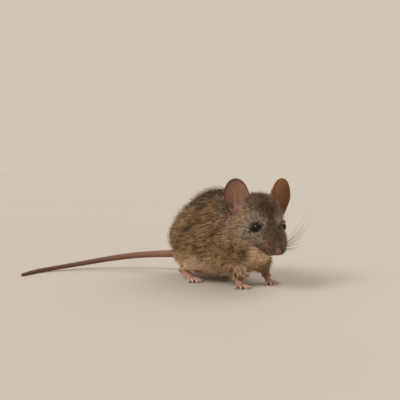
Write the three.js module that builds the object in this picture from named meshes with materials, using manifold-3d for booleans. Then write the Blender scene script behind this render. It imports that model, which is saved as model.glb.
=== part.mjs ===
// A house mouse, life size, standing alert on four feet with its head turned to its right.
// Millimetres. +X is forward along the trunk, +Y is the mouse's left, +Z is up, the floor is Z = 0.
import * as THREE from "three";
import { mergeVertices } from "three/addons/utils/BufferGeometryUtils.js";
import Module from "manifold-3d";

const wasm = await Module();
wasm.setup();

// ---------------------------------------------------------------- driving dimensions

const THIN_FROM = 0.55; // share of the way down a shank where it grows thin
const PARTING = 0.3; // clear space in each parting cut between two nodes
const TRUNK_CELL = 4.8; // facet size on the trunk and neck
const HEAD_CELL = 2; // facet size on the head
const LEG_CELL = 3; // facet size on the legs
const REGION_CELL = 3.4; // facet size on the cuts around the legs
const SIMPLIFY = { coat: 0.2, bare: 0.14 }; // how far a facet may move when small ones are joined

const BACK_TOP = 39; // floor to the tips of the coat over the loin
const BELLY_BOTTOM = 2.9; // floor to the coat of the belly
const TRUNK_HALF_WIDTH = 14.2; // midline to the tips of the coat on the flank
const RUMP_BACK = -27; // the coat's rearmost point

const HEAD = {
  at: [26.8, -2, 25], // midway between the eyes
  turn: -25, // degrees, to the right of the trunk
  nod: 40, // degrees, muzzle down
};
const NOSE_REACH = 13; // from between the eyes to the nose tip
const SKULL_HALF_WIDTH = 7.4;
const EYE = { x: 0.2, side: 5.1, z: 0.6, radius: 2.2 };

const EAR = {
  height: 16.6, // notch to tip
  width: 10.8,
  depth: 3.2, // how far the cup sinks behind its rim
  wall: 0.6,
  root: [-8.1, 9.3, -3.2], // foot of the ear on the left side of the head, in the head's frame
  // facing: degrees outward from straight ahead. lean: the tip outward. rake: the tip backward.
  left: { side: 1, facing: 13, lean: 12, rake: 8 },
  right: { side: -1, facing: 36, lean: 8, rake: 10 },
  stub: { at: [-2.9, 0, 4], inward: 5, radii: [1.7, 2.5] }, // the fleshy foot of the ear, in the ear's frame
  mouth: 4, // how far the fur stands clear in front of the cup
  notch: 0.24, // share of the height below which the fur closes in on the cup
};

const TAIL = {
  rootRadius: 1.85,
  tipRadius: 0.8,
  route: [
    [-22, 0.6, 9.6],
    [-28, -1.2, 8.6],
    [-37, -4.6, 7.8],
    [-47.5, -10.4, 6.6],
    [-57.5, -18.6, 4.7],
    [-65.3, -28.6, 2.7],
    [-69.8, -39, 1.45],
    [-70.6, -48.5, 0.98],
    [-67.9, -57.4, 0.72],
  ],
  shares: [0.3, 0.64], // where the tail is parted, as shares of its length
};

// cut is the height of the level cut between leg and foot.
const HIND = { metatarsus: 1.75, flat: 0.74, toe: 0.68, toeLength: 5.2, spread: 52, palm: 4, cut: 4.5 };
const FORE = { metatarsus: 1.3, flat: 0.9, toe: 0.58, toeLength: 3.9, spread: 82, palm: 3.2, cut: 3.9 };

// Each limb runs from the joint under the coat to the ball of the foot. side is +1 on the left.
// patch gives the radii of the space that the limb's nodes take from the body.
const LIMBS = {
  hindleg_left: {
    side: 1,
    paw: HIND,
    line: [[-11, 8, 19], [2.5, 11, 12], [-9.6, 8.4, 3.3]],
    radii: [7, 4.6, 1.5],
    patch: [8.2, 5.6, 2.7],
    ball: [-0.4, 9.7, 1.15],
    heading: 3,
  },
  hindleg_right: {
    side: -1,
    paw: HIND,
    line: [[-14, -8, 19], [-1.5, -11, 12], [-15.8, -8.4, 3.3]],
    radii: [7, 4.6, 1.5],
    patch: [8.2, 5.6, 2.7],
    ball: [-7.2, -10.9, 1.15],
    heading: -22,
  },
  foreleg_left: {
    side: 1,
    paw: FORE,
    line: [[12.5, 8.4, 18], [15.2, 8, 10], [18.2, 7.4, 3.2]],
    radii: [4.4, 3.1, 1.25],
    patch: [6.4, 4.4, 2.5],
    ball: [20.3, 7, 0.95],
    heading: -22,
  },
  foreleg_right: {
    side: -1,
    paw: FORE,
    line: [[11, -8.6, 18], [10.6, -8.6, 10], [15, -7.3, 3.2]],
    radii: [4.4, 3.1, 1.3],
    patch: [6.4, 4.4, 2.5],
    ball: [17.4, -7.6, 0.95],
    heading: -30,
  },
};

// ---------------------------------------------------------------- materials

const finish = (color, roughness) => new THREE.MeshStandardMaterial({ color, roughness, metalness: 0 });
const coat = finish(0x7d6344, 0.85);
const bareSkin = finish(0xb98a7a, 0.6);
const earSkin = finish(0x96685a, 0.6);
const tailSkin = finish(0x84584b, 0.65);
const eyeGloss = finish(0x0b0908, 0.08);

// ---------------------------------------------------------------- the body as a field of blended lobes

const rad = THREE.MathUtils.degToRad;
const vec = (a) => new THREE.Vector3(...a);

const headFrame = new THREE.Matrix4().compose(
  vec(HEAD.at),
  new THREE.Quaternion().setFromEuler(new THREE.Euler(0, rad(HEAD.nod), rad(HEAD.turn), "ZYX")),
  new THREE.Vector3(1, 1, 1),
);
const bodyFrame = new THREE.Matrix4();

// An ellipsoid with its centre and half sizes in a frame.
function lobe(at, half, frame = bodyFrame) {
  const inverse = frame.clone().invert();
  const c = vec(at);
  return (p) => {
    const q = p.clone().applyMatrix4(inverse).sub(c);
    const k0 = Math.hypot(q.x / half[0], q.y / half[1], q.z / half[2]);
    const k1 = Math.hypot(q.x / half[0] ** 2, q.y / half[1] ** 2, q.z / half[2] ** 2);
    return k1 < 1e-9 ? -Math.min(...half) : (k0 * (k0 - 1)) / k1;
  };
}

// A round bar that tapers from one end to the other.
function bar(from, to, r0, r1, frame = bodyFrame) {
  const a = vec(from).applyMatrix4(frame);
  const ab = vec(to).applyMatrix4(frame).sub(a);
  return (p) => {
    const q = p.clone().sub(a);
    const t = THREE.MathUtils.clamp(q.dot(ab) / ab.lengthSq(), 0, 1);
    return q.sub(ab.clone().multiplyScalar(t)).length() - THREE.MathUtils.lerp(r0, r1, t);
  };
}

// Joins lobes with a soft fillet of the given reach.
function blend(lobes, reach) {
  return (p) =>
    lobes.reduce((joined, one) => {
      const d = one(p);
      const h = Math.max(reach - Math.abs(joined - d), 0) / reach;
      return Math.min(joined, d) - (h * h * reach) / 4;
    }, 1e3);
}

const bothSides = (make) => [1, -1].map(make);

const backHalf = (BACK_TOP - BELLY_BOTTOM) / 2;
const trunkLobes = [
  lobe([RUMP_BACK + 16.4, 0, 16.8], [15.8, TRUNK_HALF_WIDTH - 1.2, 14.6]),
  lobe([-2.7, 0, BELLY_BOTTOM + backHalf + 0.1], [16.6, TRUNK_HALF_WIDTH - 0.8, backHalf - 0.1]),
  lobe([7, -0.4, 19.8], [12.8, TRUNK_HALF_WIDTH - 2, 15.4]),
  lobe([15.5, -0.4, 14.5], [8.4, 9.2, 8]),
  ...bothSides((s) => lobe([-11, s * 8, 14.6], [9.8, 6.4, 9.6])),
  ...bothSides((s) => lobe([12.5, s * 7.2, 15.5], [6.4, 4.6, 7.6])),
];
const neckLobes = [
  bar([4, 0, 25.2], [15, -0.8, 27.4], 12.2, 8.4),
  bar([12, -0.2, 18], [20.5, -1.4, 20.6], 9, 6.6),
];
const headLobes = [
  lobe([-7.6, 0, -0.6], [8.4, SKULL_HALF_WIDTH, 6.6], headFrame),
  lobe([0.2, 0, -2], [7.6, 6.5, 4.8], headFrame),
  lobe([4.8, 0, -2.4], [5.8, 6, 3.8], headFrame),
  ...bothSides((s) => lobe([2.6, s * 4.1, -3.4], [4.8, 3, 3], headFrame)),
  bar([4, 0, -1.1], [NOSE_REACH - 2.6, 0, -1.8], 3.3, 2.1, headFrame),
  bar([-4, 0, -5], [7.4, 0, -5.3], 4, 1.4, headFrame),
  ...bothSides((s) => lobe([8.6, s * 2.5, -3.2], [3.4, 2.4, 2.4], headFrame)),
  ...bothSides((s) => lobe([-2, s * 4.5, -4.1], [6.2, 3.6, 4.1], headFrame)),
  ...bothSides((s) => lobe([0.2, s * 3.5, 1.6], [3, 1.9, 1.9], headFrame)),
  ...bothSides((s) => lobe([EAR.root[0] - 2, s * (EAR.root[1] - 2.4), EAR.root[2] + 2], [3.8, 3.4, 4.3], headFrame)),
];

const trunkField = blend(trunkLobes, 6);
const neckField = blend(neckLobes, 5);
const headField = blend(headLobes, 2.2);

// The fleshy part of a limb: the thigh or upper arm, and the shank down to where it grows thin.
function limbField({ line, radii }) {
  const [hip, knee, ankle] = line;
  const thin = vec(knee).lerp(vec(ankle), THIN_FROM).toArray();
  const r = THREE.MathUtils.lerp(radii[1], radii[2], THIN_FROM);
  return blend([bar(hip, knee, radii[0], radii[1]), bar(knee, thin, radii[1], r)], 2);
}
const limbFields = Object.fromEntries(Object.entries(LIMBS).map(([name, limb]) => [name, limbField(limb)]));

const bodyField = blend([blend([trunkField, neckField], 6), headField], 3);
const fleshField = blend([bodyField, ...Object.values(limbFields)], 2.6);

// ---------------------------------------------------------------- from a field to a closed mesh

const gradient = (field, p, h = 0.02) =>
  new THREE.Vector3(
    field(new THREE.Vector3(p.x + h, p.y, p.z)) - field(new THREE.Vector3(p.x - h, p.y, p.z)),
    field(new THREE.Vector3(p.x, p.y + h, p.z)) - field(new THREE.Vector3(p.x, p.y - h, p.z)),
    field(new THREE.Vector3(p.x, p.y, p.z + h)) - field(new THREE.Vector3(p.x, p.y, p.z - h)),
  ).divideScalar(2 * h);

// Draws the surface of a field inside a box as even quads: one point in each cell that the surface
// passes through, joined across each grid edge that it crosses. The field closes at the box's walls.
function surface(field, box, cell) {
  const size = box.getSize(new THREE.Vector3());
  const n = [size.x, size.y, size.z].map((s) => Math.ceil(s / cell) + 3);
  const origin = box.min.clone().subScalar(1.5 * cell);
  const inset = box.clone().expandByScalar(-0.4 * cell);
  const walled = (p) => Math.max(field(p), inset.distanceToPoint(p) > 0 ? inset.distanceToPoint(p) : -1e3);
  const corner = (i, j, k) => (i * n[1] + j) * n[2] + k;
  const place = (i, j, k) => new THREE.Vector3(i, j, k).multiplyScalar(cell).add(origin);
  const value = new Float32Array(n[0] * n[1] * n[2]);
  const each = (top, visit) => {
    for (let i = 0; i < n[0] - top; i++)
      for (let j = 0; j < n[1] - top; j++) for (let k = 0; k < n[2] - top; k++) visit(i, j, k);
  };
  each(0, (i, j, k) => (value[corner(i, j, k)] = walled(place(i, j, k))));

  const points = [];
  const pointOf = new Map();
  const bits = [0, 1, 2, 3, 4, 5, 6, 7].map((b) => [b & 1, (b >> 1) & 1, (b >> 2) & 1]);
  each(1, (i, j, k) => {
    const v = bits.map(([a, b, c]) => value[corner(i + a, j + b, k + c)]);
    const inside = v.filter((x) => x < 0).length;
    if (inside === 0 || inside === 8) return;
    const sum = new THREE.Vector3();
    let crossings = 0;
    bits.forEach((from, a) =>
      [1, 2, 4].forEach((step) => {
        const b = a | step;
        if (b === a || v[a] < 0 === v[b] < 0) return;
        const t = v[a] / (v[a] - v[b]);
        sum.add(new THREE.Vector3(...from).lerp(new THREE.Vector3(...bits[b]), t));
        crossings++;
      }),
    );
    const p = place(i, j, k).addScaledVector(sum, cell / crossings);
    for (let pass = 0; pass < 2; pass++) {
      const g = gradient(walled, p);
      const step = THREE.MathUtils.clamp(walled(p) / Math.max(g.lengthSq(), 0.25), -cell / 3, cell / 3);
      p.addScaledVector(g, -step);
    }
    pointOf.set(corner(i, j, k), points.length / 3);
    points.push(p.x, p.y, p.z);
  });

  const index = [];
  const quad = (a, b, c, d, flip) => index.push(...(flip ? [a, c, b, a, d, c] : [a, b, c, a, c, d]));
  const axes = [
    [[1, 0, 0], [0, 1, 0], [0, 0, 1]],
    [[0, 1, 0], [0, 0, 1], [1, 0, 0]],
    [[0, 0, 1], [1, 0, 0], [0, 1, 0]],
  ];
  each(1, (i, j, k) => {
    if (i * j * k === 0) return;
    axes.forEach(([d, u, w]) => {
      const here = value[corner(i, j, k)] < 0;
      if (here === value[corner(i + d[0], j + d[1], k + d[2])] < 0) return;
      const cellAt = (a, b) =>
        pointOf.get(corner(i - a * u[0] - b * w[0], j - a * u[1] - b * w[1], k - a * u[2] - b * w[2]));
      quad(cellAt(0, 0), cellAt(1, 0), cellAt(1, 1), cellAt(0, 1), !here);
    });
  });
  return new THREE.BufferGeometry()
    .setAttribute("position", new THREE.Float32BufferAttribute(points, 3))
    .setIndex(index);
}

// ---------------------------------------------------------------- closed tubes, and solids to cut and join

// A closed skin through rings of points, with a point at each end.
function ringSkin(rings, first, last) {
  const around = rings[0].length;
  const points = [first, ...rings.flat(), last].flatMap((p) => p.toArray());
  const index = [];
  const at = (ring, j) => 1 + ring * around + (j % around);
  for (let j = 0; j < around; j++) {
    index.push(0, at(0, j + 1), at(0, j));
    for (let ring = 0; ring < rings.length - 1; ring++) {
      index.push(at(ring, j), at(ring, j + 1), at(ring + 1, j + 1));
      index.push(at(ring, j), at(ring + 1, j + 1), at(ring + 1, j));
    }
    index.push(at(rings.length - 1, j), at(rings.length - 1, j + 1), 1 + rings.length * around);
  }
  return new THREE.BufferGeometry()
    .setAttribute("position", new THREE.Float32BufferAttribute(points, 3))
    .setIndex(index);
}

// A tube along a curve from share a to share b. radii(t) gives its half height and half width.
function tube(curve, radii, around, steps, a = 0, b = 1, rounded = [0.5, 0.5]) {
  const up = new THREE.Vector3(0, 0, 1);
  const shares = Array.from({ length: steps + 1 }, (_, i) => a + ((b - a) * i) / steps);
  const rings = shares.map((t) => {
    const along = curve.getTangentAt(t);
    const side = new THREE.Vector3().crossVectors(up, along).normalize();
    const rise = new THREE.Vector3().crossVectors(along, side);
    const [high, wide] = radii(t);
    return Array.from({ length: around }, (_, j) => {
      const turn = (2 * Math.PI * j) / around;
      return curve.getPointAt(t)
        .addScaledVector(side, Math.cos(turn) * wide)
        .addScaledVector(rise, Math.sin(turn) * high);
    });
  });
  const end = (t, sign, share) =>
    curve.getPointAt(t).addScaledVector(curve.getTangentAt(t), sign * share * radii(t)[0]);
  return ringSkin(rings, end(a, -1, rounded[0]), end(b, 1, rounded[1]));
}

function solid(geometry, frame = bodyFrame, weld = 1e-4) {
  const bare = new THREE.BufferGeometry()
    .setAttribute("position", geometry.getAttribute("position").clone())
    .setIndex(geometry.index);
  const merged = mergeVertices(bare.applyMatrix4(frame), weld);
  return new wasm.Manifold(
    new wasm.Mesh({
      numProp: 3,
      vertProperties: merged.attributes.position.array,
      triVerts: new Uint32Array(merged.index.array),
    }),
  );
}

function geometryOf(made) {
  const mesh = made.getMesh();
  return new THREE.BufferGeometry()
    .setAttribute("position", new THREE.Float32BufferAttribute(mesh.vertProperties, 3))
    .setIndex(new THREE.Uint32BufferAttribute(mesh.triVerts, 1));
}

const boxSolid = (low, high) => {
  const box = new THREE.Box3(vec(low), vec(high));
  const size = box.getSize(new THREE.Vector3());
  const centre = box.getCenter(new THREE.Vector3());
  return solid(new THREE.BoxGeometry(...size.toArray()).toNonIndexed(), new THREE.Matrix4().setPosition(centre));
};

// All the space in front of a plane through a point.
function halfSpace(through, facing) {
  const reach = 120;
  const frame = new THREE.Matrix4().compose(
    vec(through).addScaledVector(facing, reach / 2),
    new THREE.Quaternion().setFromUnitVectors(new THREE.Vector3(1, 0, 0), facing),
    new THREE.Vector3(1, 1, 1),
  );
  return solid(new THREE.BoxGeometry(reach, reach, reach).toNonIndexed(), frame);
}

// A round mesh with its centre and half sizes.
const lobeMesh = (at, half, around, rings) =>
  solid(new THREE.SphereGeometry(1, around, rings),
    new THREE.Matrix4().makeScale(...half).premultiply(new THREE.Matrix4().setPosition(vec(at))));

function flipped(geometry) {
  const turned = geometry.clone();
  for (let i = 0; i < turned.index.count; i += 3) {
    const b = turned.index.getX(i + 1);
    turned.index.setX(i + 1, turned.index.getX(i + 2));
    turned.index.setX(i + 2, b);
  }
  return turned;
}

const floorCut = boxSolid([-200, -200, -20], [200, 200, 0]);

// ---------------------------------------------------------------- parting planes and limb regions

const nape = { at: [14.6, -0.8, 28], facing: new THREE.Vector3(0.93, -0.1, 0.34).normalize() };
const shoulder = { at: [9.4, -0.4, 26.5], facing: new THREE.Vector3(0.95, -0.05, 0.3).normalize() };
const shifted = ({ at, facing }, by) => vec(at).addScaledVector(facing, by).toArray();
const frontOf = (plane, by) => halfSpace(shifted(plane, by), plane.facing);

// The space that a limb's nodes take from the body.
function limbRegion({ line, patch, side }, grow) {
  const [hip, knee, ankle] = line;
  const field = blend([bar(hip, knee, patch[0], patch[1]), bar(knee, ankle, patch[1], patch[2])], 2);
  const reach = patch[0] + 1;
  const box = new THREE.Box3().setFromPoints(line.map(vec)).expandByScalar(reach);
  const midline = side > 0 ? boxSolid([-90, 0.4 - grow, -9], [90, 90, 90]) : boxSolid([-90, -90, -9], [90, grow - 0.4, 90]);
  const skin = surface(field, box, REGION_CELL);
  const place = skin.getAttribute("position");
  for (let i = 0; i < place.count; i++) {
    const p = new THREE.Vector3().fromBufferAttribute(place, i);
    place.setXYZ(i, ...p.addScaledVector(gradient(field, p).normalize(), grow).toArray());
  }
  return solid(skin).intersect(midline);
}

// ---------------------------------------------------------------- paws

// A tube through points with its radius running smoothly from r0 to r1.
const taper = (points, r0, r1, around, steps, flat = 1) =>
  solid(tube(new THREE.CatmullRomCurve3(points), (t) => {
    const r = THREE.MathUtils.lerp(r0, r1, t);
    return [r * flat, r];
  }, around, steps));

function pawSolid({ side, paw, line, ball, heading }) {
  const toes = paw === HIND ? 5 : 4;
  const heel = vec(line[2]);
  const pad = vec(ball);
  const across = new THREE.Vector3(-Math.sin(rad(heading)), Math.cos(rad(heading)), 0);
  let made = taper([heel, heel.clone().lerp(pad, 0.5), pad], paw.metatarsus, paw.palm * 0.5, 8, 3, paw.flat);
  made = made.add(lobeMesh([pad.x + 0.3, pad.y, 0.7], [paw.palm * 0.44, paw.palm * 0.44, 0.9], 9, 5));
  for (let i = 0; i < toes; i++) {
    const share = i / (toes - 1) - 0.5; // from the inner toe to the outer one
    const yaw = rad(heading + side * share * paw.spread);
    const length = paw.toeLength * (1 - 0.5 * Math.abs(share) - (paw === HIND && i === 0 ? 0.15 : 0));
    const out = new THREE.Vector3(Math.cos(yaw), Math.sin(yaw), 0);
    const root = pad.clone().addScaledVector(across, side * share * (paw.palm - 2 * paw.toe));
    const knuckle = root.clone().addScaledVector(out, length * 0.5).setZ(paw.toe * 1.75);
    const tip = root.clone().addScaledVector(out, length).setZ(paw.toe * 0.82);
    const claw = tip.clone().addScaledVector(out, 1.3).setZ(0.25);
    const bend = tip.clone().lerp(claw, 0.5).setZ(paw.toe * 0.85);
    made = made
      .add(taper([root, knuckle, tip], paw.toe * 1.05, paw.toe * 0.92, 5, 2))
      .add(taper([tip, bend, claw], 0.36, 0.13, 4, 1));
  }
  return made;
}

// ---------------------------------------------------------------- ears

// A body between two egg-shaped faces that share a rim: a turned profile whose radius picks how far a
// point lies from the ear's deepest point towards its rim. front and back give each face's distance.
function eggBody({ side }, grow, front, back) {
  const steps = [0, 0.42, 0.76, 1];
  const near = steps.map((share) => new THREE.Vector2(share, 0));
  const far = steps.map((share) => new THREE.Vector2(share, 1)).reverse();
  const body = new THREE.LatheGeometry([...near, ...far], 17);
  const place = body.getAttribute("position");
  for (let i = 0; i < place.count; i++) {
    const share = Math.hypot(place.getX(i), place.getZ(i));
    const turn = Math.atan2(place.getZ(i), place.getX(i));
    const face = place.getY(i) > 0.5 ? back : front;
    place.setXYZ(i, ...earPoint(share, turn, side, grow, face).toArray());
  }
  const made = solid(body);
  return made.volume() > 0 ? made : solid(flipped(body));
}

// Ear frame: Z runs from the notch to the tip, Y across, X out of the cup's mouth.
function earPoint(share, turn, side, grow, face) {
  const c = Math.cos(turn);
  const s = Math.sin(turn);
  const narrowing = 1 - 0.42 * Math.max(0, -s) ** 1.1; // the rim draws in towards the notch
  const rimY = (EAR.width / 2 + grow) * c * narrowing;
  const rimZ = EAR.height * 0.54 + (EAR.height * (s > 0 ? 0.46 : 0.54) + grow) * s;
  const y = rimY * share;
  const z = THREE.MathUtils.lerp(EAR.height * 0.24, rimZ, share);
  const bowl = EAR.depth * (1 - share ** 2.2) * (1 - 0.5 * Math.max(0, z / EAR.height - 0.4));
  const arch = Math.sin(Math.PI * THREE.MathUtils.clamp(z / EAR.height, 0, 1));
  const curl = 1.1 * Math.max(0, -c * side) ** 2 * share; // the front edge rolls over the mouth
  return new THREE.Vector3(face(share, curl - bowl - arch, z), y, z);
}

function earSolid(ear, grow) {
  const cup = eggBody(ear, grow, (_, x) => x + grow, (share, x) => x - EAR.wall * (1.6 - 0.6 * share) - grow);
  const { at, inward, radii } = EAR.stub;
  const turn = rad(ear.side * ear.facing);
  const inner = vec(at).add(new THREE.Vector3(-Math.sin(turn) * ear.side, -Math.cos(turn) * ear.side, 0).multiplyScalar(inward));
  const foot = taper([vec(at), vec(at).lerp(inner, 0.5), inner], radii[0] + grow, radii[1] + grow, 9, 2);
  const bowl = eggBody(ear, 0, mouthFace, (_, x) => x - 0.12);
  return cup.add(foot.subtract(bowl)).transform(earFrame(ear).toArray());
}

// The clear space in front of the cup, which narrows towards the notch.
const earMouth = (ear) =>
  eggBody(ear, 0, mouthFace, (_, x) => x - EAR.wall / 2).transform(earFrame(ear).toArray());
const mouthFace = (share, x, z) =>
  THREE.MathUtils.lerp(x + PARTING, EAR.mouth * (1.3 - share), THREE.MathUtils.smoothstep(z / EAR.height, -0.04, EAR.notch));

function earFrame({ side, facing, lean, rake }) {
  const turned = new THREE.Matrix4().makeRotationFromEuler(
    new THREE.Euler(rad(-side * lean), rad(-rake), rad(HEAD.turn + side * facing), "ZYX"),
  );
  const root = new THREE.Vector3(EAR.root[0], side * EAR.root[1], EAR.root[2]).applyMatrix4(headFrame);
  return turned.setPosition(root);
}

// ---------------------------------------------------------------- the nodes

const mouse = new THREE.Group();

// Adds a node, leaving out crumbs that a cut may have left.
function place(name, made, material) {
  const largest = (cut) => cut.decompose().sort((a, b) => b.volume() - a.volume())[0];
  const whole = largest(made.simplify(material === coat ? SIMPLIFY.coat : SIMPLIFY.bare));
  const welded = largest(solid(geometryOf(whole), new THREE.Matrix4(), 2e-3));
  const mesh = new THREE.Mesh(geometryOf(welded), material);
  mesh.name = name;
  mouse.add(mesh);
}

const tailCurve = new THREE.CatmullRomCurve3(TAIL.route.map(vec));
const tailSolid = (grow) =>
  solid(tube(tailCurve, (t) => {
    const r = THREE.MathUtils.lerp(TAIL.rootRadius, TAIL.tipRadius, t ** 0.85) + grow;
    return [r, r];
  }, 9, 30)).subtract(floorCut);

const eyeAt = (side) => new THREE.Vector3(EYE.x, side * EYE.side, EYE.z).applyMatrix4(headFrame);
const sphere = (at, radius, around, rings) =>
  solid(new THREE.SphereGeometry(radius, around, rings), new THREE.Matrix4().setPosition(at));

const bodyBox = new THREE.Box3(new THREE.Vector3(-34, -22, 0.5), new THREE.Vector3(30, 22, 44));
const headBox = new THREE.Box3(new THREE.Vector3(9, -16, 8), new THREE.Vector3(42, 14, 44));

let torso = solid(surface(fleshField, bodyBox, TRUNK_CELL)).subtract(tailSolid(PARTING));
for (const limb of Object.values(LIMBS)) torso = torso.subtract(limbRegion(limb, PARTING));
for (const ear of [EAR.left, EAR.right]) torso = torso.subtract(earSolid(ear, PARTING)).subtract(earMouth(ear));
place("trunk", torso.subtract(frontOf(shoulder, -PARTING / 2)), coat);
place("neck", torso.intersect(frontOf(shoulder, PARTING / 2)).subtract(frontOf(nape, -PARTING / 2)), coat);

const nose = lobeMesh([NOSE_REACH - 1.6, 0, -1.5], [2, 1.7, 1.4], 10, 7).transform(headFrame.toArray());
let head = solid(surface(fleshField, headBox, HEAD_CELL)).add(nose).intersect(frontOf(nape, PARTING / 2));
for (const limb of Object.values(LIMBS)) head = head.subtract(limbRegion(limb, PARTING));
for (const name of ["left", "right"]) {
  const ear = EAR[name];
  const socket = sphere(eyeAt(ear.side), EYE.radius + PARTING, 12, 8);
  head = head.subtract(socket).subtract(earSolid(ear, PARTING)).subtract(earMouth(ear));
  place("eye_" + name, sphere(eyeAt(ear.side), EYE.radius, 12, 8), eyeGloss);
  place("ear_" + name, earSolid(ear, 0), earSkin);
}
place("head", head, coat);

for (const [name, limb] of Object.entries(LIMBS)) {
  const box = new THREE.Box3().setFromPoints(limb.line.map(vec)).expandByScalar(limb.radii[0] + 3);
  const [, knee, shin] = limb.line.map(vec);
  const shank = taper([knee, knee.clone().lerp(shin, 0.5), shin], limb.radii[1] * 0.96, limb.radii[2], 10, 3);
  const thigh = solid(surface(fleshField, box, LEG_CELL)).intersect(limbRegion(limb, 0));
  const whole = thigh.add(shank).add(pawSolid(limb)).subtract(floorCut);
  const ankle = { at: [0, 0, limb.paw.cut], facing: new THREE.Vector3(0, 0, 1) };
  place(name, whole.intersect(frontOf(ankle, PARTING / 2)), coat);
  place(name.replace("leg", "foot"), whole.subtract(frontOf(ankle, -PARTING / 2)), bareSkin);
}

const tail = tailSolid(0);
const cuts = TAIL.shares.map((t) => ({ at: tailCurve.getPointAt(t).toArray(), facing: tailCurve.getTangentAt(t) }));
const behind = cuts.map((cut) => frontOf(cut, PARTING / 2));
const before = cuts.map((cut) => frontOf(cut, -PARTING / 2));
place("tail_root", tail.subtract(before[0]), tailSkin);
place("tail_middle", tail.intersect(behind[0]).subtract(before[1]), tailSkin);
place("tail_tip", tail.intersect(behind[1]), tailSkin);

// The origin goes to the middle of the box around the mouse, on the floor.
const around = new THREE.Box3().setFromObject(mouse);
const middle = around.getCenter(new THREE.Vector3());
for (const mesh of mouse.children) mesh.geometry.translate(-middle.x, -middle.y, 0);

export default mouse;
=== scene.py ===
import math

import bpy
import numpy as np
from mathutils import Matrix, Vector, kdtree
from mathutils.bvhtree import BVHTree


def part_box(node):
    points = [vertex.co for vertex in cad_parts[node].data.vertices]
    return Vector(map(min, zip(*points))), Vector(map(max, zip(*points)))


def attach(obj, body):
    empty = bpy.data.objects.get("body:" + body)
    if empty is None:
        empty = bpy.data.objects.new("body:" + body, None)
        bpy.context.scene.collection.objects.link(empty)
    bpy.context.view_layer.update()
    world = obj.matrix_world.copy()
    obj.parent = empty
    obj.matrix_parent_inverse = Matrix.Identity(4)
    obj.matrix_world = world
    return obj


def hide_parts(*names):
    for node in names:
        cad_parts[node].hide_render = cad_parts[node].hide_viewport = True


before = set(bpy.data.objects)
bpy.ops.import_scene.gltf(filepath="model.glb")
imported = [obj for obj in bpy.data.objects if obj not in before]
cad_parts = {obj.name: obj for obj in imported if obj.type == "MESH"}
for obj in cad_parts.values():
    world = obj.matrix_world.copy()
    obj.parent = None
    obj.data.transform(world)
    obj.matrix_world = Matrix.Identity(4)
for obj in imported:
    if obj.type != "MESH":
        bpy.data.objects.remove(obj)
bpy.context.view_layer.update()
mm = 0.001
offFloor = 0.02  # the least height of the skin


def report(stage):
    print("mouse:", stage)


# small tools for points

def unit(vectors):
    vectors = np.asarray(vectors, float)
    return vectors / np.maximum(np.linalg.norm(vectors, axis=-1, keepdims=True), 1e-9)


def laidOn(ways, rises):  # ways turned to run along the surface that the rises stand on
    return unit(ways - rises * (ways * rises).sum(1)[:, None])


def ovalGap(points, oval):  # distance from the middle of an oval, 1 at its edge
    middle, half = oval
    return np.linalg.norm((points - middle) / half, axis=1)


def ramp(low, high, values):  # 0 below low, 1 above high, smooth between
    t = np.clip((values - low) / (high - low), 0, 1)
    return t * t * (3 - 2 * t)


def turned(axis, degrees):
    c, s = math.cos(math.radians(degrees)), math.sin(math.radians(degrees))
    spins = {
        "X": [[1, 0, 0], [0, c, -s], [0, s, c]],
        "Y": [[c, 0, s], [0, 1, 0], [-s, 0, c]],
        "Z": [[c, -s, 0], [s, c, 0], [0, 0, 1]],
    }
    return np.array(spins[axis])


def nodeBox(node):
    low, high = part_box(node)
    return np.array(low) / mm, np.array(high) / mm


def nodeCentre(node):
    return sum(nodeBox(node)) / 2


def pointsOf(mesh):
    flat = np.empty(len(mesh.vertices) * 3, np.float32)
    mesh.vertices.foreach_get("co", flat)
    return flat.reshape(-1, 3).astype(float) / mm


def putPoints(mesh, points):
    mesh.vertices.foreach_set("co", (points * mm).astype(np.float32).ravel())
    mesh.update()


def normalsOf(mesh):
    flat = np.empty(len(mesh.vertices) * 3, np.float32)
    mesh.vertex_normals.foreach_get("vector", flat)
    return flat.reshape(-1, 3).astype(float)


def edgesOf(mesh):
    flat = np.empty(len(mesh.edges) * 2, np.int32)
    mesh.edges.foreach_get("vertices", flat)
    return flat.reshape(-1, 2)


def eased(values, edges, rounds, share=0.5):  # evens out values between neighbouring points
    a, b = edges[:, 0], edges[:, 1]
    count = np.maximum(np.bincount(edges.ravel(), minlength=len(values)), 1)
    values = np.array(values, float)
    flat = values.ndim == 1
    if flat:
        values = values[:, None]
    share = np.broadcast_to(np.asarray(share, float), len(values))[:, None]
    for _ in range(rounds):
        near = np.stack([
            np.bincount(a, column[b], len(column)) + np.bincount(b, column[a], len(column))
            for column in values.T
        ], 1)
        values = values + share * (near / count[:, None] - values)
    return values[:, 0] if flat else values


def treeOf(points):
    tree = kdtree.KDTree(len(points))
    for i, place in enumerate(points.tolist()):
        tree.insert(place, i)
    tree.balance()
    return tree


def faceTree(mesh, points):
    return BVHTree.FromPolygons(points.tolist(), [list(f.vertices) for f in mesh.polygons])


def pickOnly(*pieces):
    if bpy.context.object and bpy.context.object.mode != "OBJECT":
        bpy.ops.object.mode_set(mode="OBJECT")
    bpy.ops.object.select_all(action="DESELECT")
    for piece in pieces:
        piece.select_set(True)
    bpy.context.view_layer.objects.active = pieces[0]


def editAll(piece, operator, **settings):
    pickOnly(piece)
    bpy.ops.object.mode_set(mode="EDIT")
    bpy.ops.mesh.select_all(action="SELECT")
    operator(**settings)
    bpy.ops.object.mode_set(mode="OBJECT")


def faceOut(piece):
    editAll(piece, bpy.ops.mesh.normals_make_consistent, inside=False)


def mergeDoubles(piece):
    editAll(piece, bpy.ops.mesh.remove_doubles, threshold=1e-6)


def useModifier(piece, kind, **settings):
    pickOnly(piece)
    made = piece.modifiers.new(kind.lower(), kind)
    for name, value in settings.items():
        setattr(made, name, value)
    bpy.ops.object.modifier_apply(modifier=made.name)


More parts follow.
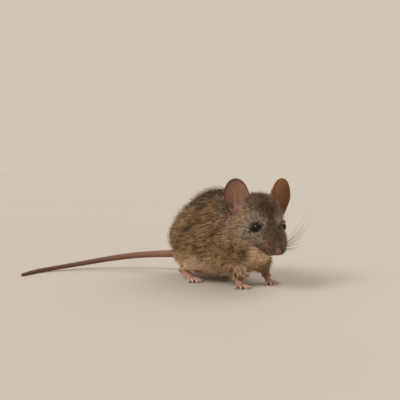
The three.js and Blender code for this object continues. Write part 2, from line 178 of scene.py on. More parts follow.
def newPiece(name, points, faces):
    mesh = bpy.data.meshes.new(name)
    mesh.from_pydata((np.asarray(points) * mm).tolist(), [], faces)
    mesh.update()
    piece = bpy.data.objects.new(name, mesh)
    bpy.context.collection.objects.link(piece)
    mesh.shade_smooth()
    return piece


def joined(name, pieces):
    pickOnly(*pieces)
    bpy.ops.object.join()
    bpy.context.object.name = name
    bpy.context.object.data.name = name
    return bpy.context.object


def ringSkin(rings, first, last):  # a closed skin over rings of points, with a point at each end
    rows, around = rings.shape[:2]
    points = np.vstack([rings.reshape(-1, 3), first, last])
    faces = []
    for row in range(rows - 1):
        for step in range(around):
            here, there = row * around + step, row * around + (step + 1) % around
            faces.append((here, there, there + around, here + around))
    top = (rows - 1) * around
    for step in range(around):
        after = (step + 1) % around
        faces.append((after, step, rows * around))
        faces.append((top + step, top + after, rows * around + 1))
    return points, faces


def smoothLine(points, steps):  # a smooth line through points, in even steps
    points = np.asarray(points, float)
    padded = np.vstack([2 * points[0] - points[1], points, 2 * points[-1] - points[-2]])
    fine = []
    for i in range(len(points) - 1):
        p0, p1, p2, p3 = padded[i:i + 4]
        for t in np.linspace(0, 1, 24, endpoint=False):
            fine.append(0.5 * (2 * p1 + (p2 - p0) * t + (2 * p0 - 5 * p1 + 4 * p2 - p3) * t * t
                               + (3 * p1 - p0 - 3 * p2 + p3) * t ** 3))
    fine = np.array(fine + [points[-1]])
    run = np.concatenate([[0], np.cumsum(np.linalg.norm(np.diff(fine, axis=0), axis=1))])
    even = np.linspace(0, run[-1], steps + 1)
    return np.stack([np.interp(even, run, column) for column in fine.T], 1)


def tubeSkin(points, radii, around, steps, flat=1.0):
    line = smoothLine(points, steps)
    along = unit(np.gradient(line, axis=0))
    side = unit(np.cross([0, 0, 1], along))
    rise = np.cross(along, side)
    shares = np.linspace(0, 1, steps + 1)
    reach = np.interp(shares, np.linspace(0, 1, len(radii)), radii)
    turn = 2 * math.pi * np.arange(around) / around
    wide = np.cos(turn)[None, :, None] * side[:, None] * reach[:, None, None]
    high = np.sin(turn)[None, :, None] * rise[:, None] * reach[:, None, None] * flat
    rings = line[:, None] + wide + high
    return ringSkin(rings, line[0] - along[0] * reach[0] * 0.6, line[-1] + along[-1] * reach[-1] * 0.6)


def ballSkin(at, half, around=20, rows=12):
    tilt = np.linspace(-math.pi / 2, math.pi / 2, rows + 1)[1:-1]
    turn = 2 * math.pi * np.arange(around) / around
    rings = np.stack([
        np.cos(tilt)[:, None] * np.cos(turn),
        np.cos(tilt)[:, None] * np.sin(turn),
        np.broadcast_to(np.sin(tilt)[:, None], (rows - 1, around)),
    ], 2) * half + at
    return ringSkin(rings, np.array(at) - [0, 0, half[2]], np.array(at) + [0, 0, half[2]])


# where the head and the body lie, from the frame

head = {
    "nod": 40,  # degrees, muzzle down
    "eyeAhead": 0.2,  # the eyes' place before and above the middle of the head
    "eyeAbove": 0.6,
    "eyeSet": (0.2, -0.4),  # how far the seen eyeball sits ahead of and above the solid one
    "fromMidline": (26.8, -2, 25),  # the head's middle, from the middle of the trunk
}
eyeNode = {side: nodeCentre("eye_" + side) for side in ("left", "right")}
eyeRadius = float(np.ptp(np.array(nodeBox("eye_left")), axis=0)[2]) / 2
leftward = unit(eyeNode["left"] - eyeNode["right"])
level = np.array([leftward[1], -leftward[0], 0])
nodShare = math.radians(head["nod"])
muzzleward = level * math.cos(nodShare) - np.array([0, 0, math.sin(nodShare)])
crownward = np.cross(muzzleward, leftward)
headAxes = np.stack([muzzleward, leftward, crownward])
betweenEyes = (eyeNode["left"] + eyeNode["right"]) / 2
headAt = betweenEyes - head["eyeAhead"] * muzzleward - head["eyeAbove"] * crownward
bodyAt = headAt - np.array(head["fromMidline"])
eyeAt = {
    side: eyeNode[side] + head["eyeSet"][0] * muzzleward + head["eyeSet"][1] * crownward
    for side in eyeNode
}

camera = {"fromBody": (174.9, -188.4, 49), "turn": 45, "dip": 3.24, "lens": 54}


def setCamera():
    tilt = (math.radians(90 - camera["dip"]), 0, math.radians(camera["turn"]))
    bpy.ops.object.camera_add(location=(bodyAt + camera["fromBody"]) * mm, rotation=tilt)
    made = bpy.context.object
    made.data.lens = camera["lens"]
    made.data.clip_start = 0.01
    made.data.clip_end = 20
    bpy.context.scene.camera = made


setCamera()
report("camera set")


def toHead(points):
    return (points - headAt) @ headAxes.T


def fromHead(points):
    return np.asarray(points, float) @ headAxes + headAt


def onBody(points):
    return np.asarray(points, float) + bodyAt


# shells of the flesh, which are then made one skin

flesh = {
    "swell": 0.2,  # closes the fine cuts between the solids
    "grain": 0.42,  # mesh size on the body
    "furred": ["trunk", "neck", "head", "hindleg_left", "hindleg_right", "foreleg_left", "foreleg_right"],
}


def bodyShell():
    copies = []
    for node in flesh["furred"]:
        copy = bpy.data.objects.new("flesh_" + node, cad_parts[node].data.copy())
        bpy.context.collection.objects.link(copy)
        mergeDoubles(copy)
        copies.append(copy)
    for side in eyeAt:  # the closed lids, which are opened later, and the flesh that carries the ears
        ball = ballSkin(eyeAt[side], [eyeRadius + 0.15] * 3)
        copies.append(newPiece("lid", *ball))
        copies += earMounds(ears[side])
    body = joined("body_shell", copies)
    useModifier(body, "DISPLACE", strength=flesh["swell"] * mm, mid_level=0)
    useModifier(body, "REMESH", mode="VOXEL", voxel_size=flesh["grain"] * mm, use_smooth_shade=True)
    return largestOf(body)


def largestOf(piece):  # drops closed bubbles that the cuts between the solids leave inside
    editAll(piece, bpy.ops.mesh.separate, type="LOOSE")
    parts = sorted(bpy.context.selected_objects, key=lambda part: len(part.data.vertices))
    report(f"kept the largest of {len(parts)}")
    for part in parts[:-1]:
        bpy.data.objects.remove(part)
    return parts[-1]


paws = {
    "hind": {"heel": 1.75, "flat": 0.74, "toe": 0.68, "toeLength": 5.2, "spread": 52, "palm": 4, "toes": 5},
    "fore": {"heel": 1.3, "flat": 0.9, "toe": 0.58, "toeLength": 3.9, "spread": 82, "palm": 3.2, "toes": 4},
    "grain": 0.22,  # mesh size on the feet
    "shin": (1.9, 1.4),  # thickness above the heel
}
limbs = {
    "hindleg_left": {"side": 1, "paw": "hind", "knee": (2.5, 11, 12), "ankle": (-9.6, 8.4, 3.3),
                     "ball": (-0.4, 9.7, 1.15), "heading": 3},
    "hindleg_right": {"side": -1, "paw": "hind", "knee": (-1.5, -11, 12), "ankle": (-15.8, -8.4, 3.3),
                      "ball": (-7.2, -10.9, 1.15), "heading": -22},
    "foreleg_left": {"side": 1, "paw": "fore", "knee": (15.2, 8, 10), "ankle": (18.2, 7.4, 3.2),
                     "ball": (20.3, 7, 0.95), "heading": -22},
    "foreleg_right": {"side": -1, "paw": "fore", "knee": (10.6, -8.6, 10), "ankle": (15, -7.3, 3.2),
                      "ball": (17.4, -7.6, 0.95), "heading": -30},
}


def toesOf(limb):  # root, knuckle, tip and direction of each toe
    paw = paws[limb["paw"]]
    ball = onBody(limb["ball"])
    heading = math.radians(limb["heading"])
    across = np.array([-math.sin(heading), math.cos(heading), 0])
    for i in range(paw["toes"]):
        share = i / (paw["toes"] - 1) - 0.5
        short = 0.15 if limb["paw"] == "hind" and i == 0 else 0
        length = paw["toeLength"] * (1 - 0.5 * abs(share) - short)
        yaw = heading + math.radians(limb["side"] * share * paw["spread"])
        out = np.array([math.cos(yaw), math.sin(yaw), 0])
        root = ball + across * limb["side"] * share * (paw["palm"] - 2 * paw["toe"])
        knuckle = root + out * length * 0.5
        knuckle[2] = paw["toe"] * 1.75
        tip = root + out * length
        tip[2] = paw["toe"] * 0.82
        yield root, knuckle, tip, out


def footShell(name, limb):
    paw = paws[limb["paw"]]
    toe = paw["toe"]
    heel, ball, knee = onBody(limb["ankle"]), onBody(limb["ball"]), onBody(limb["knee"])
    middle = (heel + ball) / 2
    sole = [paw["heel"], paw["heel"] * 1.02, paw["palm"] * 0.5]
    shin = [heel * 0.5 + knee * 0.5, heel * 0.8 + knee * 0.2, heel]
    parts = [
        tubeSkin([heel, middle, ball], sole, 20, 16, paw["flat"]),
        tubeSkin(shin, [*paws["shin"], paw["heel"] * 0.86], 20, 12),
        ballSkin([ball[0] + 0.3, ball[1], 0.7], [paw["palm"] * 0.44, paw["palm"] * 0.44, 0.9]),
    ]
    for root, knuckle, tip, _ in toesOf(limb):
        before = knuckle * 0.45 + tip * 0.55 + [0, 0, 0.12]
        reach = [1.1 * toe, 0.98 * toe, 1.02 * toe, 0.82 * toe, 0.86 * toe]
        parts.append(tubeSkin([root, knuckle, before, tip], reach, 16, 14))
        parts.append(ballSkin([tip[0], tip[1], toe * 0.78], [toe * 0.86, toe * 0.86, toe * 0.76], 14, 8))
        parts.append(ballSkin([root[0], root[1], toe * 0.8], [toe * 0.95, toe * 0.95, toe * 0.8], 14, 8))
    foot = joined(name, [newPiece(name, *part) for part in parts])
    useModifier(foot, "REMESH", mode="VOXEL", voxel_size=paws["grain"] * mm, use_smooth_shade=True)
    points = eased(pointsOf(foot.data), edgesOf(foot.data), 3)
    points[:, 2] = np.maximum(points[:, 2], offFloor)
    putPoints(foot.data, points)
    return foot


tail = {
    "root": 1.85,
    "tip": 0.8,
    "around": 20,
    "steps": 290,
    "route": [
        (-19, 1.2, 10.4), (-22, 0.6, 9.6), (-28, -1.2, 8.6), (-37, -4.6, 7.8), (-47.5, -10.4, 6.6),
        (-57.5, -18.6, 4.7), (-65.3, -28.6, 2.7), (-69.8, -39, 1.45), (-70.6, -48.5, 0.98),
        (-67.9, -57.4, 0.72),
    ],
}
tailLine = smoothLine(onBody(tail["route"]), tail["steps"])


def tailShell():
    shares = np.linspace(0, 1, 12)
    radii = tail["root"] + (tail["tip"] - tail["root"]) * shares ** 0.85
    radii[-1] *= 0.8
    points, faces = tubeSkin(onBody(tail["route"]), radii, tail["around"], tail["steps"])
    points[:, 2] = np.maximum(points[:, 2], offFloor)
    return newPiece("tail_shell", points, faces)


ears = {
    "height": 16.6,  # notch to tip
    "width": 10.8,
    "depth": 3.2,
    "wall": 0.5,
    "baseWall": 1.7,  # how many times thicker the wall is at the bottom of the cup
    "root": (-8.1, 9.3, -3.2),
    "foot": (-4, 0, 4),
    "mound": (-1.8, 0, -1.1),
    "moundSize": 2.5,
    "neck": (1.9, 2.4, 2.9),  # thickness of the flesh from the cup to the head
    "around": 120,
    "rows": 34,
    "fold": 0.75,  # height of the fold that rises from the notch
    "ridge": 0.3,  # height of the long shallow fold behind it
    "rim": 0.3,  # how far the rim turns forward
    "innerEdge": (-2, -4.5, 8),  # the way the inner edge runs, from the root
    "tuckReach": 13,  # flesh this near the middle of a cup is tucked behind it
    "tuckGap": 0.3,
    "left": {"side": 1, "facing": 13, "lean": 12, "rake": 8},
    "right": {"side": -1, "facing": 36, "lean": 8, "rake": 10},
}


def earAxes(ear):
    spin = math.degrees(math.atan2(level[1], level[0])) + ear["side"] * ear["facing"]
    return turned("Z", spin) @ turned("Y", -ear["rake"]) @ turned("X", -ear["side"] * ear["lean"])


def earRoot(ear):
    x, y, z = ears["root"]
    return fromHead((x, ear["side"] * y, z))


def earFace(ear, share, turn, wall):  # one face of the cup: share runs from its deepest point to the rim
    c, s = np.cos(turn), np.sin(turn)
    narrowing = 1 - 0.42 * np.maximum(0, -s) ** 1.1
    high = ears["height"]
    y = ears["width"] / 2 * c * narrowing * share
    z = high * 0.24 + (high * 0.54 + high * np.where(s > 0, 0.46, 0.54) * s - high * 0.24) * share
    bowl = ears["depth"] * (1 - share ** 2.2) * (1 - 0.5 * np.maximum(0, z / high - 0.4))
    arch = np.sin(math.pi * np.clip(z / high, 0, 1))
    curl = 1.1 * np.maximum(0, -c * ear["side"]) ** 2 * share
    rounding = np.sqrt(np.clip(1 - ((share - 0.9) / 0.1).clip(0) ** 2, 0, 1))
    thick = wall * (ears["baseWall"] - 0.7 * share) * rounding
    ahead, rise = -y * ear["side"], np.clip(z / high, 0, 1)
    fold = np.exp(-((ahead - 0.5 - 7.5 * rise) / 0.55) ** 2)
    fold = fold * ramp(0.03, 0.12, rise) * (1 - ramp(0.27, 0.42, rise))
    ridge = np.exp(-((ahead + 1.7 - 1.5 * rise) / 0.9) ** 2)
    ridge = ridge * ramp(0.12, 0.3, rise) * (1 - ramp(0.6, 0.85, rise))
    folds = (ears["fold"] * fold + ears["ridge"] * ridge) * (1 - ramp(0.85, 1, share))
    return np.stack([curl - bowl - arch - thick + folds + ears["rim"] * ramp(0.84, 1, share), y, z], -1)


def earShell(side):
    ear = ears[side]
    turn = 2 * math.pi * np.arange(ears["around"]) / ears["around"]
    shares = np.sin(np.linspace(0.06, 1, ears["rows"]) * math.pi / 2)
    front = [earFace(ear, share, turn, 0) for share in shares]
    back = [earFace(ear, share, turn, ears["wall"]) for share in shares[-2::-1]]
    rings = np.array(front + back)
    deep = earFace(ear, np.zeros(1), np.zeros(1), 0)[0]
    behind = earFace(ear, np.zeros(1), np.zeros(1), ears["wall"])[0]
    points, faces = ringSkin(rings, deep, behind)
    cup = newPiece("ear_shell", points @ earAxes(ear).T + earRoot(ear), faces)
    faceOut(cup)
    return cup


cupShares = np.linspace(0, 1, 32)
cupTurns = 2 * math.pi * np.arange(90) / 90


def cupOf(ear):  # points over the front of the cup, and a search tree that sees them from ahead
    cup = np.array([earFace(ear, share, cupTurns, 0) for share in cupShares]).reshape(-1, 3)
    return cup, treeOf(cup * [0, 1, 1])


def earMounds(ear):  # flesh under the notch and behind the cup
    spin = math.radians(ear["side"] * ear["facing"])
    inward = -ear["side"] * np.array([math.sin(spin), math.cos(spin), 0])
    at = np.array(ears["foot"], float)
    shapes = [
        ballSkin(ears["mound"], [ears["moundSize"]] * 3),
        tubeSkin([at, at + inward * 2.5, at + inward * 5], ears["neck"], 24, 12),
    ]
    for points, faces in shapes:
        mound = newPiece("ear_mound", points @ earAxes(ear).T + earRoot(ear), faces)
        faceOut(mound)
        yield mound


def united(piece, *others):
    for other in others:
        useModifier(piece, "BOOLEAN", operation="UNION", solver="MANIFOLD", object=other)
        bpy.data.objects.remove(other)


# which part of the animal each point of the skin belongs to

groups = {
    "trunk": ["trunk"],
    "neck": ["neck"],
    "head": ["head"],
    "hindleg": ["hindleg_left", "hindleg_right"],
    "foreleg": ["foreleg_left", "foreleg_right"],
    "foot": ["hindfoot_left", "hindfoot_right", "forefoot_left", "forefoot_right"],
    "ear": [],  # found from the ears' own shells
    "tail": ["tail_root", "tail_middle", "tail_tip"],
}


def nearestNodes():
    points, faces, owners = [], [], []
    for kind, nodes in groups.items():
        for node in nodes:
            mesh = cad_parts[node].data
            first = len(points)
            points += [v.co / mm for v in mesh.vertices]
            faces += [[first + i for i in face.vertices] for face in mesh.polygons]
            owners += [kind] * len(mesh.polygons)
    return BVHTree.FromPolygons(points, faces), np.array(owners)


solidTree, solidOwners = nearestNodes()


def regionsOf(points, edges, rounds, earTrees=()):  # each kind's share of each point
    owner = solidOwners[[solidTree.find_nearest(p)[2] for p in points.tolist()]]
    for tree in earTrees:
        onEar = [tree.find_nearest(p, 0.06)[0] is not None for p in points.tolist()]
        owner = np.where(onEar, "ear", owner)
    soft = eased(np.stack([(owner == kind).astype(float) for kind in groups], 1), edges, rounds)
    return dict(zip(groups, soft.T))


coatDepth = {  # from the skin to the tips of the coat
    "trunk": 2.6,
    "neck": 2.3,
    "head": 1.0,
    "nape": 0.8,  # more on the back of the head
    "hindleg": 1.9,
    "foreleg": 1.5,
    "muzzle": 0.4,
    "earFoot": 0.55,
    "ankle": 0.3,
    "belly": 1.7,
}


def depthOf(points, normals, soft):
    depth = sum(soft[kind] * coatDepth.get(kind, 0) for kind in groups)
    under = ramp(0.2, 0.8, -normals[:, 2]) * (soft["trunk"] + soft["neck"])
    depth = depth + (coatDepth["belly"] - depth) * under * 0.8
    low = 1 - ramp(5, 13, points[:, 2])
    depth = depth + (coatDepth["ankle"] - depth) * low * np.clip(soft["hindleg"] + soft["foreleg"], 0, 1)
    at = toHead(points)
    depth = depth + coatDepth["nape"] * soft["head"] * (1 - ramp(-6, 1.5, at[:, 0]))
    front = ramp(1, 8, at[:, 0]) * soft["head"]
    depth = depth + (coatDepth["muzzle"] - depth) * front
    depth = depth + (coatDepth["earFoot"] - depth) * (1 - ramp(2.5, 5.5, earGap(points)))
    return depth * (1 - nosePad(points)) * (1 - 0.7 * noseBand(points))


def earGap(points):  # distance from the line that runs up the inner edge of each ear
    gaps = []
    for side in ("left", "right"):
        ear = ears[side]
        start = earRoot(ear)
        back, inward, up = ears["innerEdge"]
        run = earAxes(ear) @ [back, inward * ear["side"], up]
        share = np.clip((points - start) @ run / (run @ run), 0, 1)
        gaps.append(np.linalg.norm(points - start - share[:, None] * run, axis=1))
    return np.min(gaps, axis=0)


noseParts = {  # middle and half size of each, on the head
    "pad": ((12.2, 0, -1.8), (1.7, 1.5, 1.5)),
    "nostril": ((11.8, 1.3, -1.1), (0.9, 0.5, 0.8)),
    "band": ((11.2, 0, -0.2), (2.4, 1.5, 2.0)),
}


def nosePad(points):
    return 1 - ramp(0.65, 1.2, ovalGap(toHead(points), noseParts["pad"]))


# the nostrils and the cleft between them: no coat grows there, and they carry painted shade
def nostrils(points):
    at = toHead(points)
    at[:, 1] = np.abs(at[:, 1])
    gap = ovalGap(at, noseParts["nostril"])
    cleft = (1 - ramp(0.15, 0.4, at[:, 1])) * ramp(11, 11.8, at[:, 0]) * (1 - ramp(-2.8, -2.2, at[:, 2]))
    return np.maximum(0.85 * (1 - ramp(0.5, 1.2, gap)), 0.7 * cleft)


def noseBand(points):  # short smooth hair up the front of the muzzle
    return 0.7 * (1 - ramp(0.5, 1.2, ovalGap(toHead(points), noseParts["band"])))


# the body: evened out, then drawn in by the coat's depth

body = bodyShell()
report(f"body shell, {len(body.data.vertices)} points")

evening = {  # how strongly each part is evened out
    "trunk": 0.5,
    "neck": 0.5,
    "head": 0.12,
    "hindleg": 0.5,
    "foreleg": 0.5,
    "shank": 0.12,
    "rounds": 100,
}


def drawIn(body):
    edges = edgesOf(body.data)
    points = pointsOf(body.data)
    soft = regionsOf(points, edges, 14)
    share = sum(soft[kind] * evening.get(kind, 0.1) for kind in groups)
    low = (soft["hindleg"] + soft["foreleg"]) * (1 - ramp(5, 11, points[:, 2]))
    share = share + (evening["shank"] - share) * np.clip(low, 0, 1)
    points = eased(points, edges, evening["rounds"], share)
    putPoints(body.data, points)
    depth = depthOf(points, normalsOf(body.data), soft)
    steps = 8
    for _ in range(steps):
        points = points - normalsOf(body.data) * (depth / steps)[:, None]
        points = eased(points, edges, 2, 0.3 * np.clip(depth, 0.05, 1))
        putPoints(body.data, points)


def tuckBehind(body, side):  # moves flesh out of the cup of an ear, to behind it
    ear = ears[side]
    points = pointsOf(body.data)
    local = (points - earRoot(ear)) @ earAxes(ear)
    fromMiddle = np.linalg.norm(local - [0, 0, ears["height"] / 2], axis=1)
    near = np.flatnonzero(fromMiddle < ears["tuckReach"])
    cup, tree = cupOf(ear)
    found = [tree.find((0, y, z)) for y, z in local[near, 1:].tolist()]
    nearest, beside = np.array([f[1] for f in found]), np.array([f[2] for f in found])
    behind = cup[nearest, 0] - ears["baseWall"] * ears["wall"] - ears["tuckGap"]
    wanted = np.minimum(local[near, 0], behind)
    inside = (1 - ramp(0.4, 3, beside)) * ramp(0.2, 1.6, local[near, 2])
    local[near, 0] += (wanted - local[near, 0]) * inside
    putPoints(body.data, local @ earAxes(ear).T + earRoot(ear))


drawIn(body)
for side in ("left", "right"):
    tuckBehind(body, side)
report("body drawn in under its coat")


# the face: finer mesh, lids, nostrils, lip and mouth

face = {
    "lidThick": 0.24,
    "opening": 64,  # degrees from the eye's axis to the edge of the lids
    "duct": 3,
    "upperLid": 3,
    "oval": 3,  # degrees by which the opening is taller than wide
    "underTuck": 1.6,  # how far the chin is drawn up behind the lip
    "lip": -4.7,  # height of the mouth on the muzzle
    "eyeAxis": (0.6, 0.72, 0.45),
}


def eyeAxisOf(side):
    ahead, out, up = face["eyeAxis"]
    sign = 1 if side == "left" else -1
    return unit(np.array([ahead, sign * out, up]) @ headAxes)


def finer(body, near):
    points = pointsOf(body.data)
    chosen = near(points)
    pickOnly(body)
    bpy.ops.object.mode_set(mode="EDIT")
    bpy.ops.mesh.select_all(action="DESELECT")
    bpy.ops.object.mode_set(mode="OBJECT")
    for polygon in body.data.polygons:
        polygon.select = all(chosen[i] for i in polygon.vertices)
    bpy.ops.object.mode_set(mode="EDIT")
    bpy.ops.mesh.select_mode(type="FACE")
    bpy.ops.mesh.subdivide(number_cuts=1, smoothness=0)
    bpy.ops.object.mode_set(mode="OBJECT")


def nearFace(points):
    at = toHead(points)
    chosen = (at[:, 0] > 8.8) & (at[:, 2] < 1.5)
    for side in eyeAt:
        gap = np.linalg.norm(points - eyeAt[side], axis=1)
        out = (points - eyeAt[side]) @ eyeAxisOf(side)
        chosen |= (gap < eyeRadius + 1.2) & (out > -1.2)
    return chosen


def lidPlace(points, side):  # distance from the eye's middle, and degrees outside the lids' edge
    away = points - eyeAt[side]
    gap = np.linalg.norm(away, axis=1)
    axis = eyeAxisOf(side)
    ahead = unit(muzzleward - axis * (muzzleward @ axis))
    up = np.cross(ahead, axis) * (1 if side == "right" else -1)
    tilt = np.degrees(np.arccos(np.clip(unit(away) @ axis, -1, 1)))
    bearing = np.arctan2(away @ up, away @ ahead)
    duct = np.exp(-((bearing + 0.35) / 0.28) ** 2)
    edge = face["opening"] - face["oval"] * np.cos(2 * bearing) + face["duct"] * duct
    edge = edge - face["upperLid"] * np.maximum(0, np.sin(bearing))
    return gap, tilt, tilt - edge, duct


def openLids(points, side):
    away = points - eyeAt[side]
    gap, tilt, outside, duct = lidPlace(points, side)
    lidded = np.maximum(gap, eyeRadius + face["lidThick"] * (1 - 0.4 * duct))
    inside = eyeRadius - 0.3
    wanted = inside + (lidded - inside) * ramp(-4, 4, outside)
    near = (gap < eyeRadius + 1.6) & (tilt < 128)
    return np.where(near[:, None], eyeAt[side] + unit(away) * wanted[:, None], points)


def dent(at, place, half, depth, inward):
    return at + np.asarray(inward) * (depth * (1 - ramp(0.15, 1, ovalGap(at, (place, half)))))[:, None]


def shapeMuzzle(points):
    at = toHead(points)
    under = (1 - ramp(-6.5, -3, at[:, 2])) * ramp(1.5, 5.5, at[:, 0]) * (1 - ramp(9, 11.5, at[:, 0]))
    at[:, 2] += face["underTuck"] * under
    at[:, 1] *= 1 - 0.12 * under
    for sign in (1, -1):
        at = dent(at, (12.55, sign * 0.8, -1.75), (0.75, 0.42, 0.42), 0.6, (-0.6, -sign * 0.75, 0.1))
        at = dent(at, (12, sign * 1.35, -1.5), (0.55, 0.4, 0.32), 0.2, (-0.2, -sign, 0))
        at = dent(at, (10.9, sign * 1.5, -0.9), (1.6, 0.7, 0.7), 0.1, (0, -sign, 0))
    split = np.exp(-(at[:, 1] / 0.24) ** 2) * ramp(9.8, 10.9, at[:, 0]) * (1 - ramp(-2.6, -1.9, at[:, 2]))
    at[:, 0] -= 0.5 * split
    at[:, 2] += 0.2 * split
    lip = np.exp(-((at[:, 2] - face["lip"]) / 0.25) ** 2) * ramp(4.5, 6.5, at[:, 0])
    at[:, 1] -= np.sign(at[:, 1]) * 0.4 * lip * np.clip(np.abs(at[:, 1]), 0, 1)
    at[:, 0] -= 0.4 * lip * ramp(8, 10, at[:, 0])
    return fromHead(at)


finer(body, nearFace)
facePoints = pointsOf(body.data)
faceEdges = edgesOf(body.data)
facePoints = eased(facePoints, faceEdges, 3, 0.5 * nearFace(facePoints))
facePoints = eased(facePoints, faceEdges, 14, 0.5 * ramp(8.8, 10, toHead(facePoints)[:, 0]))
for side in eyeAt:
    facePoints = openLids(facePoints, side)
facePoints = shapeMuzzle(facePoints)
putPoints(body.data, facePoints)
report("lids, nose and mouth shaped")


# feet, ears and tail joined to it: one skin

for limb in limbs.values():
    united(body, footShell("foot_shell", limb))
earTrees = []
for side in ("left", "right"):
    cup = earShell(side)
    earTrees.append(faceTree(cup.data, pointsOf(cup.data)))
    united(body, cup)
tailPiece = tailShell()
faceOut(tailPiece)
united(body, tailPiece)
skin = body
skin.name = "skin"
skin.data.name = "skin"
mergeDoubles(skin)
report(f"one skin, {len(skin.data.vertices)} points")


# fields over the skin: depth, lie of the coat and markings

skinEdges = edgesOf(skin.data)
skinPoints = pointsOf(skin.data)
skinSoft = regionsOf(skinPoints, skinEdges, 8, earTrees)
skinNormals = normalsOf(skin.data)
skinHead = toHead(skinPoints)
coatSoft = {kind: eased(skinSoft[kind], skinEdges, 10) for kind in skinSoft}


def eyeGap(points):
    gaps = [np.linalg.norm(points - eyeAt[side], axis=1) for side in eyeAt]
    return np.min(gaps, axis=0)


def lidEdges():  # 1 on the dark bare edge of the lids
    dark = np.zeros(len(skinPoints))
    for side in eyeAt:
        gap, _, outside, _ = lidPlace(skinPoints, side)
        near = 1 - ramp(eyeRadius + 0.5, eyeRadius + 0.9, gap)
        dark = np.maximum(dark, near * (1 - ramp(2, 6.5, outside)))
    return dark


def bareShare():  # 1 where no coat grows
    bare = np.clip(skinSoft["ear"] + skinSoft["foot"] + skinSoft["tail"], 0, 1)
    bare = ramp(0.4, 0.8, bare)
    lip = np.exp(-((skinHead[:, 2] - face["lip"]) / 0.25) ** 2) * ramp(5, 7, skinHead[:, 0])
    holes = nostrils(skinPoints) * skinSoft["head"]
    return np.clip(np.max([bare, lidDark, noseShare, lip * skinSoft["head"], holes], axis=0), 0, 1)


lie = {
    "trunk": (-1, 0, -0.5),  # backward and a little down
    "cheekDown": 0.55,
    "aroundEye": 1.3,
}


def lieOf():  # which way the hair points, along the skin
    trunk = np.array(lie["trunk"], float)
    at = skinHead
    low = 1 - ramp(-5, 1, at[:, 2])
    cheek = lie["cheekDown"] * low * ramp(1, 5, np.abs(at[:, 1]))
    way = -muzzleward - cheek[:, None] * crownward
    way += 0.35 * (np.sign(at[:, 1]) * ramp(0.5, 4, np.abs(at[:, 1])))[:, None] * leftward
    for side in eyeAt:
        away = skinPoints - eyeAt[side]
        near = 1 - ramp(eyeRadius + 0.6, eyeRadius + 2.6, np.linalg.norm(away, axis=1))
        way += unit(away) * near[:, None] * lie["aroundEye"]
    onHead = np.clip(coatSoft["head"] * 1.3, 0, 1)[:, None]
    way = way * onHead + trunk * (1 - onHead)
    for limb in limbs.values():
        knee, ankle, ball = (onBody(limb[key]) for key in ("knee", "ankle", "ball"))
        kind = limb["paw"] + "leg"
        near = 1 - ramp(3.5, 8, np.linalg.norm(skinPoints - (knee + 2 * ankle) / 3, axis=1))
        share = (near * np.clip(coatSoft[kind] * 1.5, 0, 1) * (1 - ramp(6, 13, skinPoints[:, 2])))[:, None]
        way = way * (1 - share) + unit(ankle - knee) * share
        onPaw = (coatSoft["foot"] * (1 - ramp(8, 12, np.linalg.norm(skinPoints - ball, axis=1))))[:, None]
        way = way * (1 - onPaw) + unit((ball - ankle) * [1, 1, 0.3]) * onPaw
    for side in eyeAt:
        axes = earAxes(ears[side])
        near = coatSoft["ear"] * (1 - ramp(9, 16, np.linalg.norm(skinPoints - earRoot(ears[side]), axis=1)))
        way = way * (1 - near[:, None]) + axes[:, 2] * near[:, None]
    onTail = coatSoft["tail"][:, None]
    way = way * (1 - onTail) + unit(np.gradient(tailLine, axis=0))[tailStep] * onTail
    way = eased(laidOn(way, skinNormals), skinEdges, 12)
    return laidOn(way, skinNormals)


tailTree = treeOf(tailLine)
tailStep = np.array([tailTree.find(p)[1] for p in skinPoints.tolist()])
noseShare = nosePad(skinPoints) * skinSoft["head"]
lidDark = lidEdges()
skinBare = bareShare()
skinDepth = depthOf(skinPoints, skinNormals, coatSoft)
skinLie = lieOf()
report("lie of the coat found")


markings = {  # where each marking fades, from and to
    "bellyTop": (8, 15),
    "bellyBack": (-20, -10),
    "groinTop": (10.5, 14.5),
    "groinHalf": (4, 10),
    "chinTop": (-4.7, -3.3),
    "chinHalf": (5, 8),
    "backLow": (24, 33),
    "crownHalf": (2, 7),
    "rump": (-24, -10),
    "rumpTop": (20, 32),
    "cheekIn": (1.5, 5),
    "muzzleStart": (3.5, 7),
    "ringOut": (0.5, 2.2),  # beyond the eyeball
}
